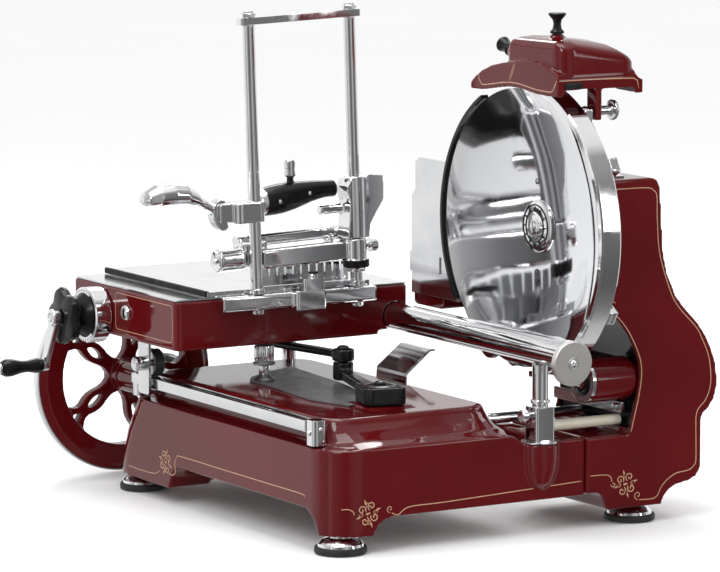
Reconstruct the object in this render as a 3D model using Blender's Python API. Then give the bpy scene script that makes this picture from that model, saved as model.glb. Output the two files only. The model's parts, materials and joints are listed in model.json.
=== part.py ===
"""Hand-flywheel deli meat slicer. Millimetres in the tables below, metres in the scene, +Z up.
X runs from the feed knob to the tower, Y along the carriage travel towards the flywheel."""
import math
import bpy
import bmesh
import numpy as np
from mathutils import Matrix, Vector

# ---------------------------------------------------------------- constants
Q = 0.72                              # segment multiplier
OFF = (-160.8, -288.72, 0.0)            # puts the middle of the underside at the origin
SEG = 20

BLADE_C = (68.0, 337.0)               # blade axis (Y, Z)
BLADE_R = 159.5
TUBE_X, TUBE_Z, TUBE_R = 250.0, 210.5, 16.3
WHEEL_C = (36.0, 120.0)               # flywheel axis (X, Z)
WHEEL_R = 116.5
CROSS_C = (68.0, 120.0)               # cross shaft axis (Y, Z)
ROLL_C = (-15.5, 400.0, 161.5)
ROLL_R = 16.3
FEED_C = (478.0, 212.0)               # feed screw axis (Y, Z)
ROCK_P = (102.0, 83.0)                 # rocker pivot (X, Y)
ROCK_E = (146.0, 238.0)               # rocker free end
LINK_C = (102.0, 455.0)                # link pivot under the table
HOOD_P = (-18.0, 476.0)               # hood pivot axis (Y, Z)
STONE = Matrix.Translation(Vector((292, 90, 533))) @ Matrix.Rotation(math.radians(-75), 4, "X")   # stone knob, along local Z
GRIP_C = (121.0, 120.0)               # flywheel grip axis (X, Z)
LEAN = -1.9                           # the holder leans this many degrees
LEAN_AT = (125.0, 283.0, 251.0)
POST_L, POST_R, POST_Y, POST_RAD = 57.0, 191.5, 283.0, 7.3
CHAIN_X = (391.0, 399.0)

TOWER = [(309, 40), (324, 41), (331, 36), (336.6, 20), (412.7, 20), (415, 27.5), (421, 34.5), (430, 39.8), (441, 42), (451, 43.6),
         (460, 48), (466, 56.5), (467.2, 72), (466.6, 106), (467.2, 115.5), (470.4, 121), (477.4, 126.6), (484.6, 136.5),
         (488.4, 150), (488.6, 162), (486, 178.6), (479.6, 196.6), (471, 212.5), (461, 226), (446, 241), (430.8, 258),
         (418, 285), (412, 310), (409, 349), (407, 385), (403, 394), (396, 397), (322, 397), (317, 392), (316, 300),
         (319, 275), (330, 256), (341.5, 246), (353, 234), (364, 220), (374.8, 200), (379.6, 186), (380.6, 170), (377, 148),
         (371.4, 126), (367.4, 105.5), (309, 105)]

# ---------------------------------------------------------------- mesh tools
for _o in list(bpy.data.objects):
    bpy.data.objects.remove(_o, do_unlink=True)


def seg(n):
    return max(6, int(round(n * Q)))


def geo(verts, faces):
    bm = bmesh.new()
    vs = [bm.verts.new(v) for v in verts]
    for f in faces:
        if len(set(f)) >= 3:
            try:
                bm.faces.new([vs[i] for i in f])
            except ValueError:
                pass
    bmesh.ops.remove_doubles(bm, verts=bm.verts, dist=1e-5)
    bmesh.ops.recalc_face_normals(bm, faces=bm.faces)
    me = bpy.data.meshes.new("g")
    bm.to_mesh(me)
    bm.free()
    return me


def to3(p, axis, h):
    """A point of a plane and a height along axis: X planes hold (Y, Z), Y planes (X, Z), Z planes (X, Y)."""
    a, b = p
    return {"X": (h, a, b), "Y": (a, h, b), "Z": (a, b, h)}[axis]


def stack(rings, cap=True, close=False):
    """Skins a list of rings with equal point counts."""
    n = len(rings[0])
    verts = [p for r in rings for p in r]
    faces = []
    m = len(rings)
    for i in range(m if close else m - 1):
        a, b = i * n, ((i + 1) % m) * n
        for k in range(n):
            faces.append((a + k, a + (k + 1) % n, b + (k + 1) % n, b + k))
    if cap and not close:
        faces.append(tuple(range(n))[::-1])
        faces.append(tuple(range((m - 1) * n, m * n)))
    return geo(verts, faces)


def prism(poly, axis, lo, hi):
    return stack([[to3(p, axis, lo) for p in poly], [to3(p, axis, hi) for p in poly]])


def box(x0, x1, y0, y1, z0, z1):
    return prism([(x0, y0), (x1, y0), (x1, y1), (x0, y1)], "Z", z0, z1)


def circle(c, r, n, start=0.0):
    return [(c[0] + r * math.cos(start + 2 * math.pi * k / n), c[1] + r * math.sin(start + 2 * math.pi * k / n)) for k in range(n)]


def turn(axis, c, prof, n=SEG, closed=False):
    """A body of revolution. prof holds (radius, height); closed joins its last ring to its first."""
    n = seg(n)
    prof = [(max(r, 0.0), h) for r, h in prof]
    rings, verts, faces, idx = [], [], [], []
    for r, h in prof:
        if r < 1e-6:
            idx.append([len(verts)])
            verts.append(to3(c, axis, h))
        else:
            idx.append(list(range(len(verts), len(verts) + n)))
            verts += [to3(p, axis, h) for p in circle(c, r, n)]
    pairs = list(zip(range(len(prof)), range(1, len(prof))))
    if closed:
        pairs.append((len(prof) - 1, 0))
    for i, j in pairs:
        a, b = idx[i], idx[j]
        for k in range(n):
            q = (k + 1) % n
            if len(a) == 1 and len(b) == 1:
                continue
            if len(a) == 1:
                faces.append((a[0], b[q], b[k]))
            elif len(b) == 1:
                faces.append((a[k], a[q], b[0]))
            else:
                faces.append((a[k], a[q], b[q], b[k]))
    if not closed:
        for i in (0, -1):
            if len(idx[i]) > 1:
                faces.append(tuple(idx[i]))
    return geo(verts, faces)


def cyl(axis, c, r, lo, hi, n=SEG, ch=0.0):
    if ch:
        return turn(axis, c, [(r - ch, lo), (r, lo + ch), (r, hi - ch), (r - ch, hi)], n)
    return turn(axis, c, [(r, lo), (r, hi)], n)


def pipe(axis, c, r0, r1, lo, hi, n=SEG):
    return turn(axis, c, [(r0, lo), (r1, lo), (r1, hi), (r0, hi)], n, closed=True)


def rrect(x0, x1, y0, y1, r, n=5):
    """A rounded rectangle, counter-clockwise."""
    out = []
    r = min(r, (x1 - x0) / 2 - 0.01, (y1 - y0) / 2 - 0.01)
    k = max(2, int(round(n * Q)))
    for cx, cy, a0 in ((x1 - r, y1 - r, 0), (x0 + r, y1 - r, 90), (x0 + r, y0 + r, 180), (x1 - r, y0 + r, 270)):
        for i in range(k + 1):
            a = math.radians(a0 + 90 * i / k)
            out.append((cx + r * math.cos(a), cy + r * math.sin(a)))
    return out


def rbox(x0, x1, y0, y1, z0, z1, r, axis="Z", n=3):
    if axis == "Z":
        return prism(rrect(x0, x1, y0, y1, r, n), "Z", z0, z1)
    if axis == "Y":
        return prism(rrect(x0, x1, z0, z1, r, n), "Y", y0, y1)
    return prism(rrect(y0, y1, z0, z1, r, n), "X", x0, x1)


def sweep(path, r, n=10, flat=1.0):
    """A closed tube along a list of points. r is one radius or one for each point."""
    n = seg(n)
    pts = [Vector(p) for p in path]
    rs = r if isinstance(r, (list, tuple)) else [r] * len(pts)
    rings, up = [], None
    for i, p in enumerate(pts):
        t = (pts[min(i + 1, len(pts) - 1)] - pts[max(i - 1, 0)]).normalized()
        if up is None:
            up = t.orthogonal().normalized() if abs(t.z) > 0.9 else Vector((0, 0, 1))
        s = t.cross(up).normalized()
        up = s.cross(t).normalized()
        rings.append([tuple(p + rs[i] * (math.cos(2 * math.pi * k / n) * s + flat * math.sin(2 * math.pi * k / n) * up)) for k in range(n)])
    return stack(rings)


def smooth(points, per=4, closed=True):
    """Catmull-Rom through the points."""
    out, m = [], len(points)
    P = [np.array(p, float) for p in points]
    for i in range(m if closed else m - 1):
        g = [P[(i + d) % m] if closed else P[min(max(i + d, 0), m - 1)] for d in (-1, 0, 1, 2)]
        for k in range(per):
            t = k / per
            out.append(tuple(0.5 * ((2 * g[1]) + (g[2] - g[0]) * t + (2 * g[0] - 5 * g[1] + 4 * g[2] - g[3]) * t * t
                                    + (3 * g[1] - g[0] - 3 * g[2] + g[3]) * t ** 3)))
    if not closed:
        out.append(tuple(P[-1]))
    return out


def offset(poly, d):
    """Moves each edge of a counter-clockwise polygon inwards by d."""
    out, m = [], len(poly)
    for i in range(m):
        a, b, c = (np.array(poly[(i + k) % m], float) for k in (-1, 0, 1))
        n1 = np.array([-(b - a)[1], (b - a)[0]]) / np.linalg.norm(b - a)
        n2 = np.array([-(c - b)[1], (c - b)[0]]) / np.linalg.norm(c - b)
        k = n1 + n2
        k = k / max(np.dot(k, k), 0.5) * 2
        out.append(tuple(b + k * d))
    return out


def csg(base, ops):
    """ops is a list of ('+' or '-', mesh), applied in turn with the exact solver."""
    ob = bpy.data.objects.new("tmp", base)
    bpy.context.scene.collection.objects.link(ob)
    gone = []
    for kind, me in ops:
        other = bpy.data.objects.new("cut", me)
        bpy.context.scene.collection.objects.link(other)
        gone.append(other)
        m = ob.modifiers.new("b", "BOOLEAN")
        m.object = other
        m.solver = "EXACT"
        m.operation = "UNION" if kind == "+" else "DIFFERENCE"
    bpy.context.view_layer.update()
    dg = bpy.context.evaluated_depsgraph_get()
    me = bpy.data.meshes.new_from_object(ob.evaluated_get(dg))
    for o in gone + [ob]:
        bpy.data.objects.remove(o, do_unlink=True)
    bm = bmesh.new()
    bm.from_mesh(me)
    bmesh.ops.remove_doubles(bm, verts=bm.verts, dist=2e-3)
    bmesh.ops.dissolve_degenerate(bm, dist=1e-3, edges=bm.edges)
    bm.to_mesh(me)
    bm.free()
    return me


def moved(me, matrix):
    me.transform(matrix)
    return me


def about(axis, degrees, at):
    return Matrix.Translation(Vector(at)) @ Matrix.Rotation(math.radians(degrees), 4, axis) @ Matrix.Translation(-Vector(at))


LEANING = about("Y", LEAN, LEAN_AT)

# ---------------------------------------------------------------- materials
MATS = {}
for _n, _c, _metal, _rough in (
        ("red_enamel", (0.13, 0.006, 0.008), 0.0, 0.12), ("chrome", (0.80, 0.80, 0.80), 1.0, 0.08),
        ("polished_steel", (0.72, 0.73, 0.75), 1.0, 0.12), ("blade_steel", (0.82, 0.83, 0.85), 1.0, 0.05),
        ("grey_steel", (0.33, 0.34, 0.35), 1.0, 0.35), ("black_steel", (0.012, 0.013, 0.015), 0.6, 0.25),
        ("black_plastic", (0.012, 0.012, 0.013), 0.0, 0.25), ("rubber", (0.02, 0.02, 0.02), 0.0, 0.7),
        ("ivory_rod", (0.62, 0.58, 0.48), 0.3, 0.3), ("nylon", (0.03, 0.03, 0.032), 0.0, 0.4)):
    _m = bpy.data.materials.new(_n)
    _m.use_nodes = True
    _b = _m.node_tree.nodes["Principled BSDF"]
    _b.inputs["Base Color"].default_value = (*_c, 1)
    _b.inputs["Metallic"].default_value = _metal
    _b.inputs["Roughness"].default_value = _rough
    MATS[_n] = _m

PARTS = {}


def put(name, me, mat, at=None):
    """Adds a sub-part. at is a point on its joint's axis, in the tables' millimetres."""
    at = Vector(at if at else (0, 0, 0))
    me.transform(Matrix.Scale(0.001, 4) @ Matrix.Translation(-at))
    me.shade_smooth()
    me.set_sharp_from_angle(angle=math.radians(32))
    me.materials.clear()
    me.materials.append(MATS[mat])
    ob = bpy.data.objects.new(name, me)
    me.name = name
    ob.location = (at + Vector(OFF)) / 1000
    bpy.context.scene.collection.objects.link(ob)
    PARTS[name] = ob
    return ob


# ---------------------------------------------------------------- frame: base
def base_body():
    x0, x1, y0, y1 = -24, 222, -24, 500
    rows = [(20, 0, 0, 0, 0, 45), (45, 0, 0, 0, 4, 45), (75, 0, 0, 0, 16, 45), (98, 0, 0, 0, 32, 45), (116, 0, 0, 0, 43, 45),
            (118, 19, 3, 1, 45, 40), (122, 20, 20, 5, 50, 34), (130, 21, 34, 8, 55, 30), (139, 22, 42, 10, 58, 28), (143.5, 23.5, 44, 11, 60, 27), (145, 26, 47, 14, 63, 25)]
    rings = []
    for z, l, n, r, f, rad in rows:
        rings.append([(x, y, z) for x, y in rrect(x0 + l, x1 - r, y0 + n, y1 - f, rad, 5)])
    body = stack(rings)
    arch_x = [(29, 5), (30.5, 20), (32, 25), (36, 31), (43, 36), (54, 39), (240, 39), (240, 5)]
    arch_y = [(9, 5), (11, 20), (16, 31), (23, 41), (34, 47), (328, 47), (336, 43), (344, 34), (350, 20), (352, 5)]
    bx, by = WHEEL_C
    ops = [("+", cyl("Y", WHEEL_C, 20, 420, 555, 20)),
           ("+", prism([(150, 39), (308.6, 39), (308.6, 105), (228.4, 105), (224, 108), (217, 113.5), (208, 116.5), (150, 117)], "Y", -24, 6)),
           ("+", turn("Z", (250, -20), [(6, 52), (15, 60), (19.5, 72), (21, 85), (21, 105)], 20)),
           ("+", rbox(74, 130, 55, 111, 140, 147.5, 6)),
           ("-", prism(arch_x, "Y", -60, 540)), ("-", prism(arch_y, "X", -60, 31.5)),
           ("-", rbox(40, 212, -14, 440, 0, 108, 12)), ("-", rbox(-14, 60, 42, 342, 0, 108, 12)),
           ("-", rbox(12, 196, 38, 390, 100, 137, 10)),
           ("-", cyl("Y", WHEEL_C, 6.5, 380, 570, 16)), ("-", cyl("X", CROSS_C, 6.5, 180, 240, 16)),
           ("-", cyl("Z", ROCK_P, 7.4, 130, 150, 16))]
    return csg(body, ops)


def rear_frame():
    ops = [("+", box(246, 274, 452, 486, 26, 100)), ("+", box(228, 402, 452, 486, 26, 60)),
           ("+", prism(rrect(366, 412, 434, 486, 14, 3), "Z", 20, 60))]
    return csg(rbox(246, 274, 6.4, 575, 92, 112.8, 5, "Y"), ops)


def foot(c):
    return turn("Z", c, [(26, 0), (28.5, 2), (28.5, 6), (26, 7.5), (25, 11), (20, 15.5), (12, 17.5), (12, 19.7), (0, 19.7)], 22)


def tower_shell():
    inner = offset(TOWER, 6)
    # the inside runs out through the notch on the blade side
    i0 = min(range(len(TOWER)), key=lambda i: (TOWER[i][0] - 330) ** 2 + (TOWER[i][1] - 256) ** 2)
    out = inner[:i0] + [(322, 262), (322, 262)][:1] + [(300, 262), (300, 111)] + [(315, 111)]
    out = [p for k, p in enumerate(out) if k == 0 or (p[0] - out[k - 1][0]) ** 2 + (p[1] - out[k - 1][1]) ** 2 > 0.5]
    shell = prism(TOWER, "Y", -28, 130)
    full = csg(shell, [("-", prism(inner, "Y", -22, 126)), ("-", prism([(300, 110.8), (381, 110.8), (392, 150), (396, 172), (392, 198), (379, 230), (354, 257), (300, 262)], "Y", -22, 126)),
                       ("-", cyl("X", BLADE_C, 20.8, 300, 330, 20))])
    return full


def side_cover():
    curve = [(344.6, 256), (357, 243), (369, 226), (380, 205), (386.4, 187), (387.4, 170), (384.5, 149), (379.5, 128), (376.5, 111.3)]
    outer = [(x - 2.6, z) for x, z in curve]
    return csg(prism(curve + outer[::-1], "Y", -21.6, 125.6), [("-", cyl("X", CROSS_C, 8, 300, 420, 16)), ("-", cyl("X", (0, 166), 21.6, 300, 420, 24))])


def blade_guard():
    n = max(14, seg(22))
    a0, a1 = math.radians(84), math.radians(262)
    ring = []
    for i in range(n + 1):
        a = a0 + (a1 - a0) * i / n
        c, s = math.cos(a), math.sin(a)
        ring.append([(x, BLADE_C[0] + r * c, BLADE_C[1] + r * s) for x, r in
                     ((277, 163.5), (277, 169.5), (279, 171), (301, 171), (303, 169.5), (303, 163.5))])
    return stack(ring)


def support_arm():
    y, z = BLADE_C
    arm = cyl("X", BLADE_C, 38, 311.2, 315.4, 24)
    up = [(HOOD_P[0] - 9, HOOD_P[1] + 3), (HOOD_P[0] - 9, HOOD_P[1] - 8), (30, 350), (95, 350), (HOOD_P[0] + 10, HOOD_P[1] - 6), (HOOD_P[0] + 8, HOOD_P[1] + 6)]
    ops = [("+", prism(up[:3] + up[3:], "X", 311.2, 315.4))]
    for deg in (150, 212):
        a = math.radians(deg)
        d, e = np.array([math.cos(a), math.sin(a)]), np.array([-math.sin(a), math.cos(a)])
        c = np.array([y, z])
        quad = [tuple(c + 20 * d - 16 * e), tuple(c + 170 * d - 9 * e), tuple(c + 170 * d + 9 * e), tuple(c + 20 * d + 16 * e)]
        ops.append(("+", prism(quad, "X", 311.2, 315.4)))
        q2 = [tuple(c + 160 * d - 8.5 * e), tuple(c + 169.5 * d - 8.5 * e), tuple(c + 169.5 * d + 8.5 * e), tuple(c + 160 * d + 8.5 * e)]
        ops.append(("+", prism(q2, "X", 303.4, 312)))
    ops += [("+", turn("X", BLADE_C, [(20, 314), (20, 372)], 24)),
            ("+", turn("X", HOOD_P, [(5.5, 303.6), (5.5, 344), (12, 344.5), (12, 349), (5, 350), (5, 354)], 14)),
            ("-", cyl("X", BLADE_C, 9.8, 300, 380, 18))]
    return csg(arm, ops)


def gauge_plate():
    y, z = BLADE_C
    pts = []
    for k in range(9):
        a = math.radians(-38 + 64 * k / 8)
        pts.append((y + 163.5 * math.cos(a), z + 163.5 * math.sin(a)))
    poly = [(300, pts[0][1]), (300, 352), (292, 360), (292, 392), (284, 398), (pts[-1][0] + 6, 398)] + pts[::-1]
    n = max(14, seg(18))
    ring = []
    for k in range(n + 1):
        a = math.radians(-36 + 98 * k / n)
        ring.append([(x, y + r * math.cos(a), z + r * math.sin(a)) for x, r in ((275, 160.6), (275, 164.6), (284, 164.6), (284, 160.6))])
    return csg(prism([(a, b) for a, b in poly], "X", 277.5, 281.5), [("+", rbox(276, 280, 236, 302, 262, 286, 3, "X")), ("+", stack(ring))])


def gauge_bracket():
    return csg(rbox(282, 330, 236, 302, 222, 256, 6, "X"),
               [("+", box(318, 330, 133, 246, 226, 250)), ("+", cyl("Y", (299, 245), 9, 234.0, 237, 14)), ("-", box(317, 331, 120, 134.4, 200, 260)),
                ("+", cyl("Z", (300, 262), 6, 255, 257, 12)),
                ("+", prism(smooth([(134.6, 248), (190, 250), (252, 250), (254, 226), (238, 206), (224, 186), (208, 170), (192, 167), (180, 178), (166, 177), (152, 166), (138, 172)], 2), "X", 319, 329))])


LIP = [(-30, 514.5), (-27, 520), (-12, 525.5), (6, 529.5), (24, 531), (44, 531), (62, 528.5), (86, 525), (108, 520.5), (128, 513.5), (143, 505), (151, 499), (152, 496)]
LIP_UNDER = [(152, 490.5), (125, 491.5), (100, 495), (84, 497.5), (66, 499), (50, 498.7), (32, 496.8), (16, 494.8), (-8, 494), (-30, 494.5)]


def dome(d, drop, z0):
    """The rounded box of the hood: straight walls and a crowned top. d moves it inwards, drop lowers its top."""
    rings = []
    for inset, t in ((0, 0), (0, 0.80), (0.8, 0.89), (2.8, 0.95), (6.5, 0.98), (13, 0.995), (24, 1.0), (40, 1.002)):
        r = max(17 - d - inset * 0.6, 3)
        ring = []
        for x, y in rrect(270 + d + inset, 373 - d - inset, -29.4 + d + inset, 91 - d - inset, r, 5):
            top = float(np.interp(x, [270, 300, 325, 348, 362, 373], [557.5, 558, 555.5, 549, 543, 536.5]) + np.interp(y, [-30, -8, 30, 62, 78, 91], [-6.5, -1, 0.5, -0.5, -4, -12])) - drop
            ring.append((x, y, z0 + (top - z0) * t))
        rings.append(ring)
    return stack(rings)


def hood_shell():
    """A lip that follows the blade, with the rounded box standing on it, hollow from below."""
    inner = [(p[0] if -26.5 < p[0] < 147 else (-26.5 if p[0] < 0 else 147), p[1] - 4) for p in LIP[1:-1]]
    ops = [("-", prism([(374, 512.5), (381, 509.5), (390, 509), (390, 560), (371, 560), (371, 516)], "Y", -50, 40)),
           ("+", dome(0, 0, 507)),
           ("-", prism(inner + [(147, 480), (-26.5, 480)], "X", 268.6, 376.4)), ("-", dome(3.6, 4, 500)),
           ("-", prism([(273, 480), (273, 501), (300, 502), (368, 501.5), (369.6, 496), (369.6, 480)], "Y", -34, -26.2)),
           ("-", prism([(300, 480), (300, 493.6), (390, 493.6), (390, 480)], "Y", -24, 160)),
           ("+", turn("Z", (296, 19), [(10, 555), (10, 557.5), (7, 559.5), (7, 561)], 18)),
           ("+", moved(turn("Z", (0, 0), [(13, -3), (11.5, 5), (9, 9), (8.2, 14), (8.2, 16)], 18), STONE)),
           ("+", box(318, 326, -28.5, -8, 466, 516)), ("-", cyl("X", HOOD_P, 5.8, 300, 340, 16))]
    return csg(prism(LIP + LIP_UNDER, "X", 265, 380), ops)


put("base_body", base_body(), "red_enamel")
put("rear_frame", rear_frame(), "red_enamel")
for _n, _c in (("foot_front_left", (2, 2)), ("foot_rear_left", (4, 462)), ("foot_front_right", (388, 2)), ("foot_rear_right", (389, 460))):
    put(_n, foot(_c), "chrome")
put("tower_housing", tower_shell(), "red_enamel")
put("tower_side_cover", side_cover(), "black_steel")
put("bearing_barrel", turn("X", (0, 166), [(7, 316), (8, 317), (8, 321), (20, 321), (20, 324), (23.5, 324), (25, 325.5), (25, 376.5), (20.5, 377), (20.5, 400)], 24), "red_enamel")
put("guide_bar", csg(rbox(364, 369, -14, 124, 127, 140.4, 2, "X"), [("+", cyl("X", (-6, 134), 4.5, 361.5, 365, 12))]), "polished_steel")
put("tie_rod", cyl("X", (0, 118.5), 6.3, 274.6, 371, 14, 1), "ivory_rod")
put("flat_rail", csg(rbox(-24, -8, 36, 441, 132, 145, 1.5, "Y", 2), [("+", rbox(-24, -6.2, 425, 441, 118.6, 145, 4)), ("-", box(-18, -13, 60, 380, 142.5, 150))]), "polished_steel")
put("rail_block_front", rbox(-24, -6.2, 16, 35.6, 118.6, 147, 6, "Z", 4), "chrome")
put("round_rail", cyl("Y", (TUBE_X, TUBE_Z), TUBE_R, -79, 572, 26, 1.5), "chrome")
put("round_rail_cap", turn("Y", (TUBE_X, TUBE_Z - 7.5), [(24, -87.5), (25, -86.5), (25, -80.5), (24, -79.4)], 26), "chrome")
put("rail_column_front", csg(rbox(237.5, 262.5, -32.5, -7.5, 106.5, 146, 3), [("+", cyl("Z", (250, -20), 21, 105.3, 107, 20)), ("+", cyl("Z", (250, -20), 9, 140, 193.7, 16))]), "chrome")
put("rail_column_rear", csg(cyl("Z", (260, 560), 9, 112, 186, 14), [("-", box(240, 280, 540, 580, 100, 113.1)), ("+", cyl("Z", (260, 560), 13, 113.2, 118, 16)), ("+", rbox(246, 268, 550, 570, 178, 193.4, 3))]), "chrome")
put("clamp_screw", csg(cyl("X", (-20, 137), 7, 224, 232, 12, 1), [("+", cyl("X", (-20, 137), 3.5, 230, 237.1, 10))]), "chrome", (230, -20, 137))
put("deck_plate", csg(prism([(152, 366), (141, 241), (126, 158), (120, 90), (66, 90), (50, 151), (58, 240), (60, 306), (72, 324), (110, 352)], "Z", 145.4, 147.4),
                      [("-", rbox(73.6, 130.4, 54.6, 111.4, 140, 150, 6)),
                       ("+", turn("Z", (77, 302), [(14, 146), (11, 149), (5.5, 153), (5.5, 164), (13, 165), (13, 167.5), (10.5, 168.5), (10.5, 187.5)], 16))]), "grey_steel")
put("deflector", prism([(222.4, 118), (224.4, 118), (226, 150.5), (258, 176), (264, 176), (264, 178), (257.4, 178), (224.2, 152.2)], "Y", 226, 292), "polished_steel")
put("gauge_plate", gauge_plate(), "polished_steel")
put("gauge_bracket", gauge_bracket(), "red_enamel")
put("blade_guard", blade_guard(), "chrome")
put("blade_support_arm", support_arm(), "polished_steel")


def chain():
    """A loop round both sprockets."""
    y, z1, z0 = BLADE_C[0], BLADE_C[1], CROSS_C[1]
    n = max(8, seg(10))

    def loop(ru, rl):
        tilt = math.asin((rl - ru) / (z1 - z0))
        up = [(y + ru * math.cos(a), z1 + ru * math.sin(a)) for a in np.linspace(-tilt, math.pi + tilt, n)]
        lo = [(y + rl * math.cos(a), z0 + rl * math.sin(a)) for a in np.linspace(math.pi + tilt, 2 * math.pi - tilt, n)]
        return up + lo

    a, b = loop(15.6, 30.6), loop(20.0, 35.0)
    rings = [[(CHAIN_X[0] + 1, *p) for p in a], [(CHAIN_X[0] + 1, *p) for p in b], [(CHAIN_X[1] - 1, *p) for p in b], [(CHAIN_X[1] - 1, *p) for p in a]]
    return stack(rings, close=True)


put("drive_chain", chain(), "grey_steel")


# ---------------------------------------------------------------- flywheel train
def flywheel():
    """A rim on five spokes. Each spoke is two strands that cross, with an eye between them and a gap at the rim."""
    c = WHEEL_C
    rim = turn("Y", c, [(85, 568), (107, 568), (113, 572), (116.5, 573), (116.5, 583), (113, 584), (107, 588), (85, 588)], 48, closed=True)
    ops = [("+", turn("Y", c, [(19, 558), (19, 592)], 20))]
    for k in range(5):
        a = math.radians(72 * k)
        d, e = np.array([math.cos(a), math.sin(a)]), np.array([-math.sin(a), math.cos(a)])
        cc = np.array(c)

        def both(prof):
            return [tuple(cc + r * d + w * e) for r, w in prof] + [tuple(cc + r * d - w * e) for r, w in prof[::-1]]

        ops.append(("+", prism(both([(14, 12), (20, 10.5), (27, 8.2), (35, 8.8), (43, 11), (51, 12), (59, 10.8), (66, 8.4), (71, 8.2), (76, 10.8), (81, 16), (86, 25)]), "Y", 571, 585)))
        ops.append(("-", prism(both([(37, 0.6), (42, 3.4), (50, 4.9), (57, 3.4), (62, 0.6)]), "Y", 560, 596)))
        ops.append(("-", prism(both([(73.5, 0.6), (79, 3.4), (84.4, 6.5)]), "Y", 560, 596)))
    ops += [("-", cyl("Y", c, 6.4, 550, 600, 16)), ("+", cyl("Y", GRIP_C, 11, 571, 592.5, 16)), ("+", cyl("Y", GRIP_C, 4.5, 590, 676, 12)),
            ("+", cyl("Y", GRIP_C, 8, 675, 680, 12))]
    return csg(rim, ops)


def bevel(axis, c, apex, d0, d1, bore, teeth=12, phase=0.0):
    """Straight bevel gear on a 45 degree cone with its apex at height apex."""
    rings = []
    for d, tip_side in ((d0, True), (d1, True)):
        m = 2 * d / teeth
        pts = []
        for k in range(teeth):
            base = phase + 2 * math.pi * k / teeth
            for deg, r in ((-6.6, d - 0.6 * m), (-2.8, d + 0.34 * m), (2.8, d + 0.34 * m), (6.6, d - 0.6 * m)):
                a = base + math.radians(deg)
                pts.append((c[0] + r * math.cos(a), c[1] + r * math.sin(a)))
        rings.append([to3(p, axis, apex + d) for p in pts])
    n = len(rings[0])

    def hole(h):
        return [to3(p, axis, h) for p in circle(c, bore, n, phase + math.radians(-6.6))]

    return stack([hole(apex + d0), rings[0], rings[1], hole(apex + d1)], close=True)


wx, wz = WHEEL_C
cy_, cz_ = CROSS_C
put("flywheel", flywheel(), "red_enamel", (wx, 575, wz))
put("flywheel_shaft", cyl("Y", WHEEL_C, 6.2, cy_ + 8.4, 594, 16, 0.8), "polished_steel", (wx, 575, wz))
put("bevel_pinion", bevel("Y", WHEEL_C, cy_, 9, 15, 6.35), "grey_steel", (wx, cy_ + 12, wz))
put("flywheel_grip", csg(turn("Y", GRIP_C, [(9, 594), (12, 600), (13.5, 615), (12, 635), (12.5, 655), (14, 668), (11, 674.4)], 18), [("-", cyl("Y", GRIP_C, 4.9, 580, 690, 14))]), "black_plastic", (GRIP_C[0], 635, GRIP_C[1]))
put("cross_shaft", csg(cyl("X", CROSS_C, 6.2, wx + 8.4, 403, 16, 0.8), [("+", cyl("X", CROSS_C, 29.8, CHAIN_X[0], CHAIN_X[1], 32)), ("-", cyl("X", CROSS_C, 40, 403.5, 410, 8))]), "polished_steel", (300, cy_, cz_))
put("bevel_wheel", bevel("X", CROSS_C, wx, 9, 15, 6.35, phase=math.radians(15)), "grey_steel", (wx + 12, cy_, cz_))


def blade():
    front = [(9.6, 305), (32, 305), (85, 298.5), (138, 288), (159.5, 280)]
    back = [(159.3, 280.9), (150, 287), (85, 301.5), (32, 308.2), (9.6, 308.2)]
    return turn("X", BLADE_C, front + back, 60, closed=True)


put("blade", blade(), "blade_steel", (290, *BLADE_C))
put("blade_hub_cap", turn("X", BLADE_C, [(0, 298.6), (12, 298.8), (22, 299.6), (28, 301), (30, 302.5), (30, 304.7), (0, 304.7)], 28), "chrome", (290, *BLADE_C))
put("blade_shaft", csg(cyl("X", BLADE_C, 9.2, 305.2, 401, 18, 0.8), [("+", cyl("X", BLADE_C, 14.9, CHAIN_X[0], CHAIN_X[1], 22))]), "polished_steel", (350, *BLADE_C))


# ---------------------------------------------------------------- carriage
def table_body():
    prof = rrect(-45, 268, 292, 548, 7, 3)
    body = prism(prof, "Z", 190, 247)
    cut = [("-", rbox(-37, 226, 300, 540, 180, 240, 8)), ("-", box(224, 274, 316, 524, 180, 230)),
           ("-", cyl("Y", (TUBE_X, TUBE_Z), TUBE_R + 0.5, 280, 560, 26)),
           ("-", box(226, 280, 280, 560, 180, 194.5)),
           ("+", cyl("Z", LINK_C, 9, 186.2, 241, 14)), ("+", cyl("Z", LINK_C, 5, 171.5, 188, 12)),
           ("-", cyl("X", FEED_C, 8.5, -60, -30, 16))]
    return csg(body, cut)


put("table_body", table_body(), "red_enamel")
put("feed_housing", csg(turn("X", FEED_C, [(31, -68), (33, -66.5), (33, -47), (31, -45.4)], 28), [("+", turn("X", FEED_C, [(13, -83), (19, -77), (26.4, -67), (26.4, -50)], 24)), ("-", cyl("X", FEED_C, 4.9, -90, -30, 16))]), "chrome")
put("roller_bracket", csg(rbox(-30, -27, 387, 413, 125.5, 189.7, 4, "X"),
                          [("+", box(-29, -6, 389, 411, 186.5, 189.7)), ("+", cyl("X", ROLL_C[1:], 4.0, -29, -7, 24)), ("+", cyl("X", ROLL_C[1:], 6.5, -43, -29, 12)),
                           ("+", box(-29, -15, 391, 409, 125.5, 129.5))]), "polished_steel")
put("roller", csg(cyl("X", ROLL_C[1:], ROLL_R, -23, -9.5, 26, 1), [("-", cyl("X", ROLL_C[1:], 4.4, -30, 0, 24))]), "nylon", ROLL_C)


# ---------------------------------------------------------------- feed table and meat holder
def front_bar():
    bar = rbox(8, 214, 274.5, 291.6, 233, 251, 3, "X")
    return csg(bar, [("+", rbox(101, 141, 266, 290, 230, 253, 3)), ("+", cyl("Z", (POST_L, POST_Y), 8, 227.6, 234, 12)), ("+", cyl("Z", (POST_R, POST_Y), 8, 227.6, 234, 12)),
                     ("-", cyl("Z", (128, 276), 6.4, 220, 260, 14))])


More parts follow.
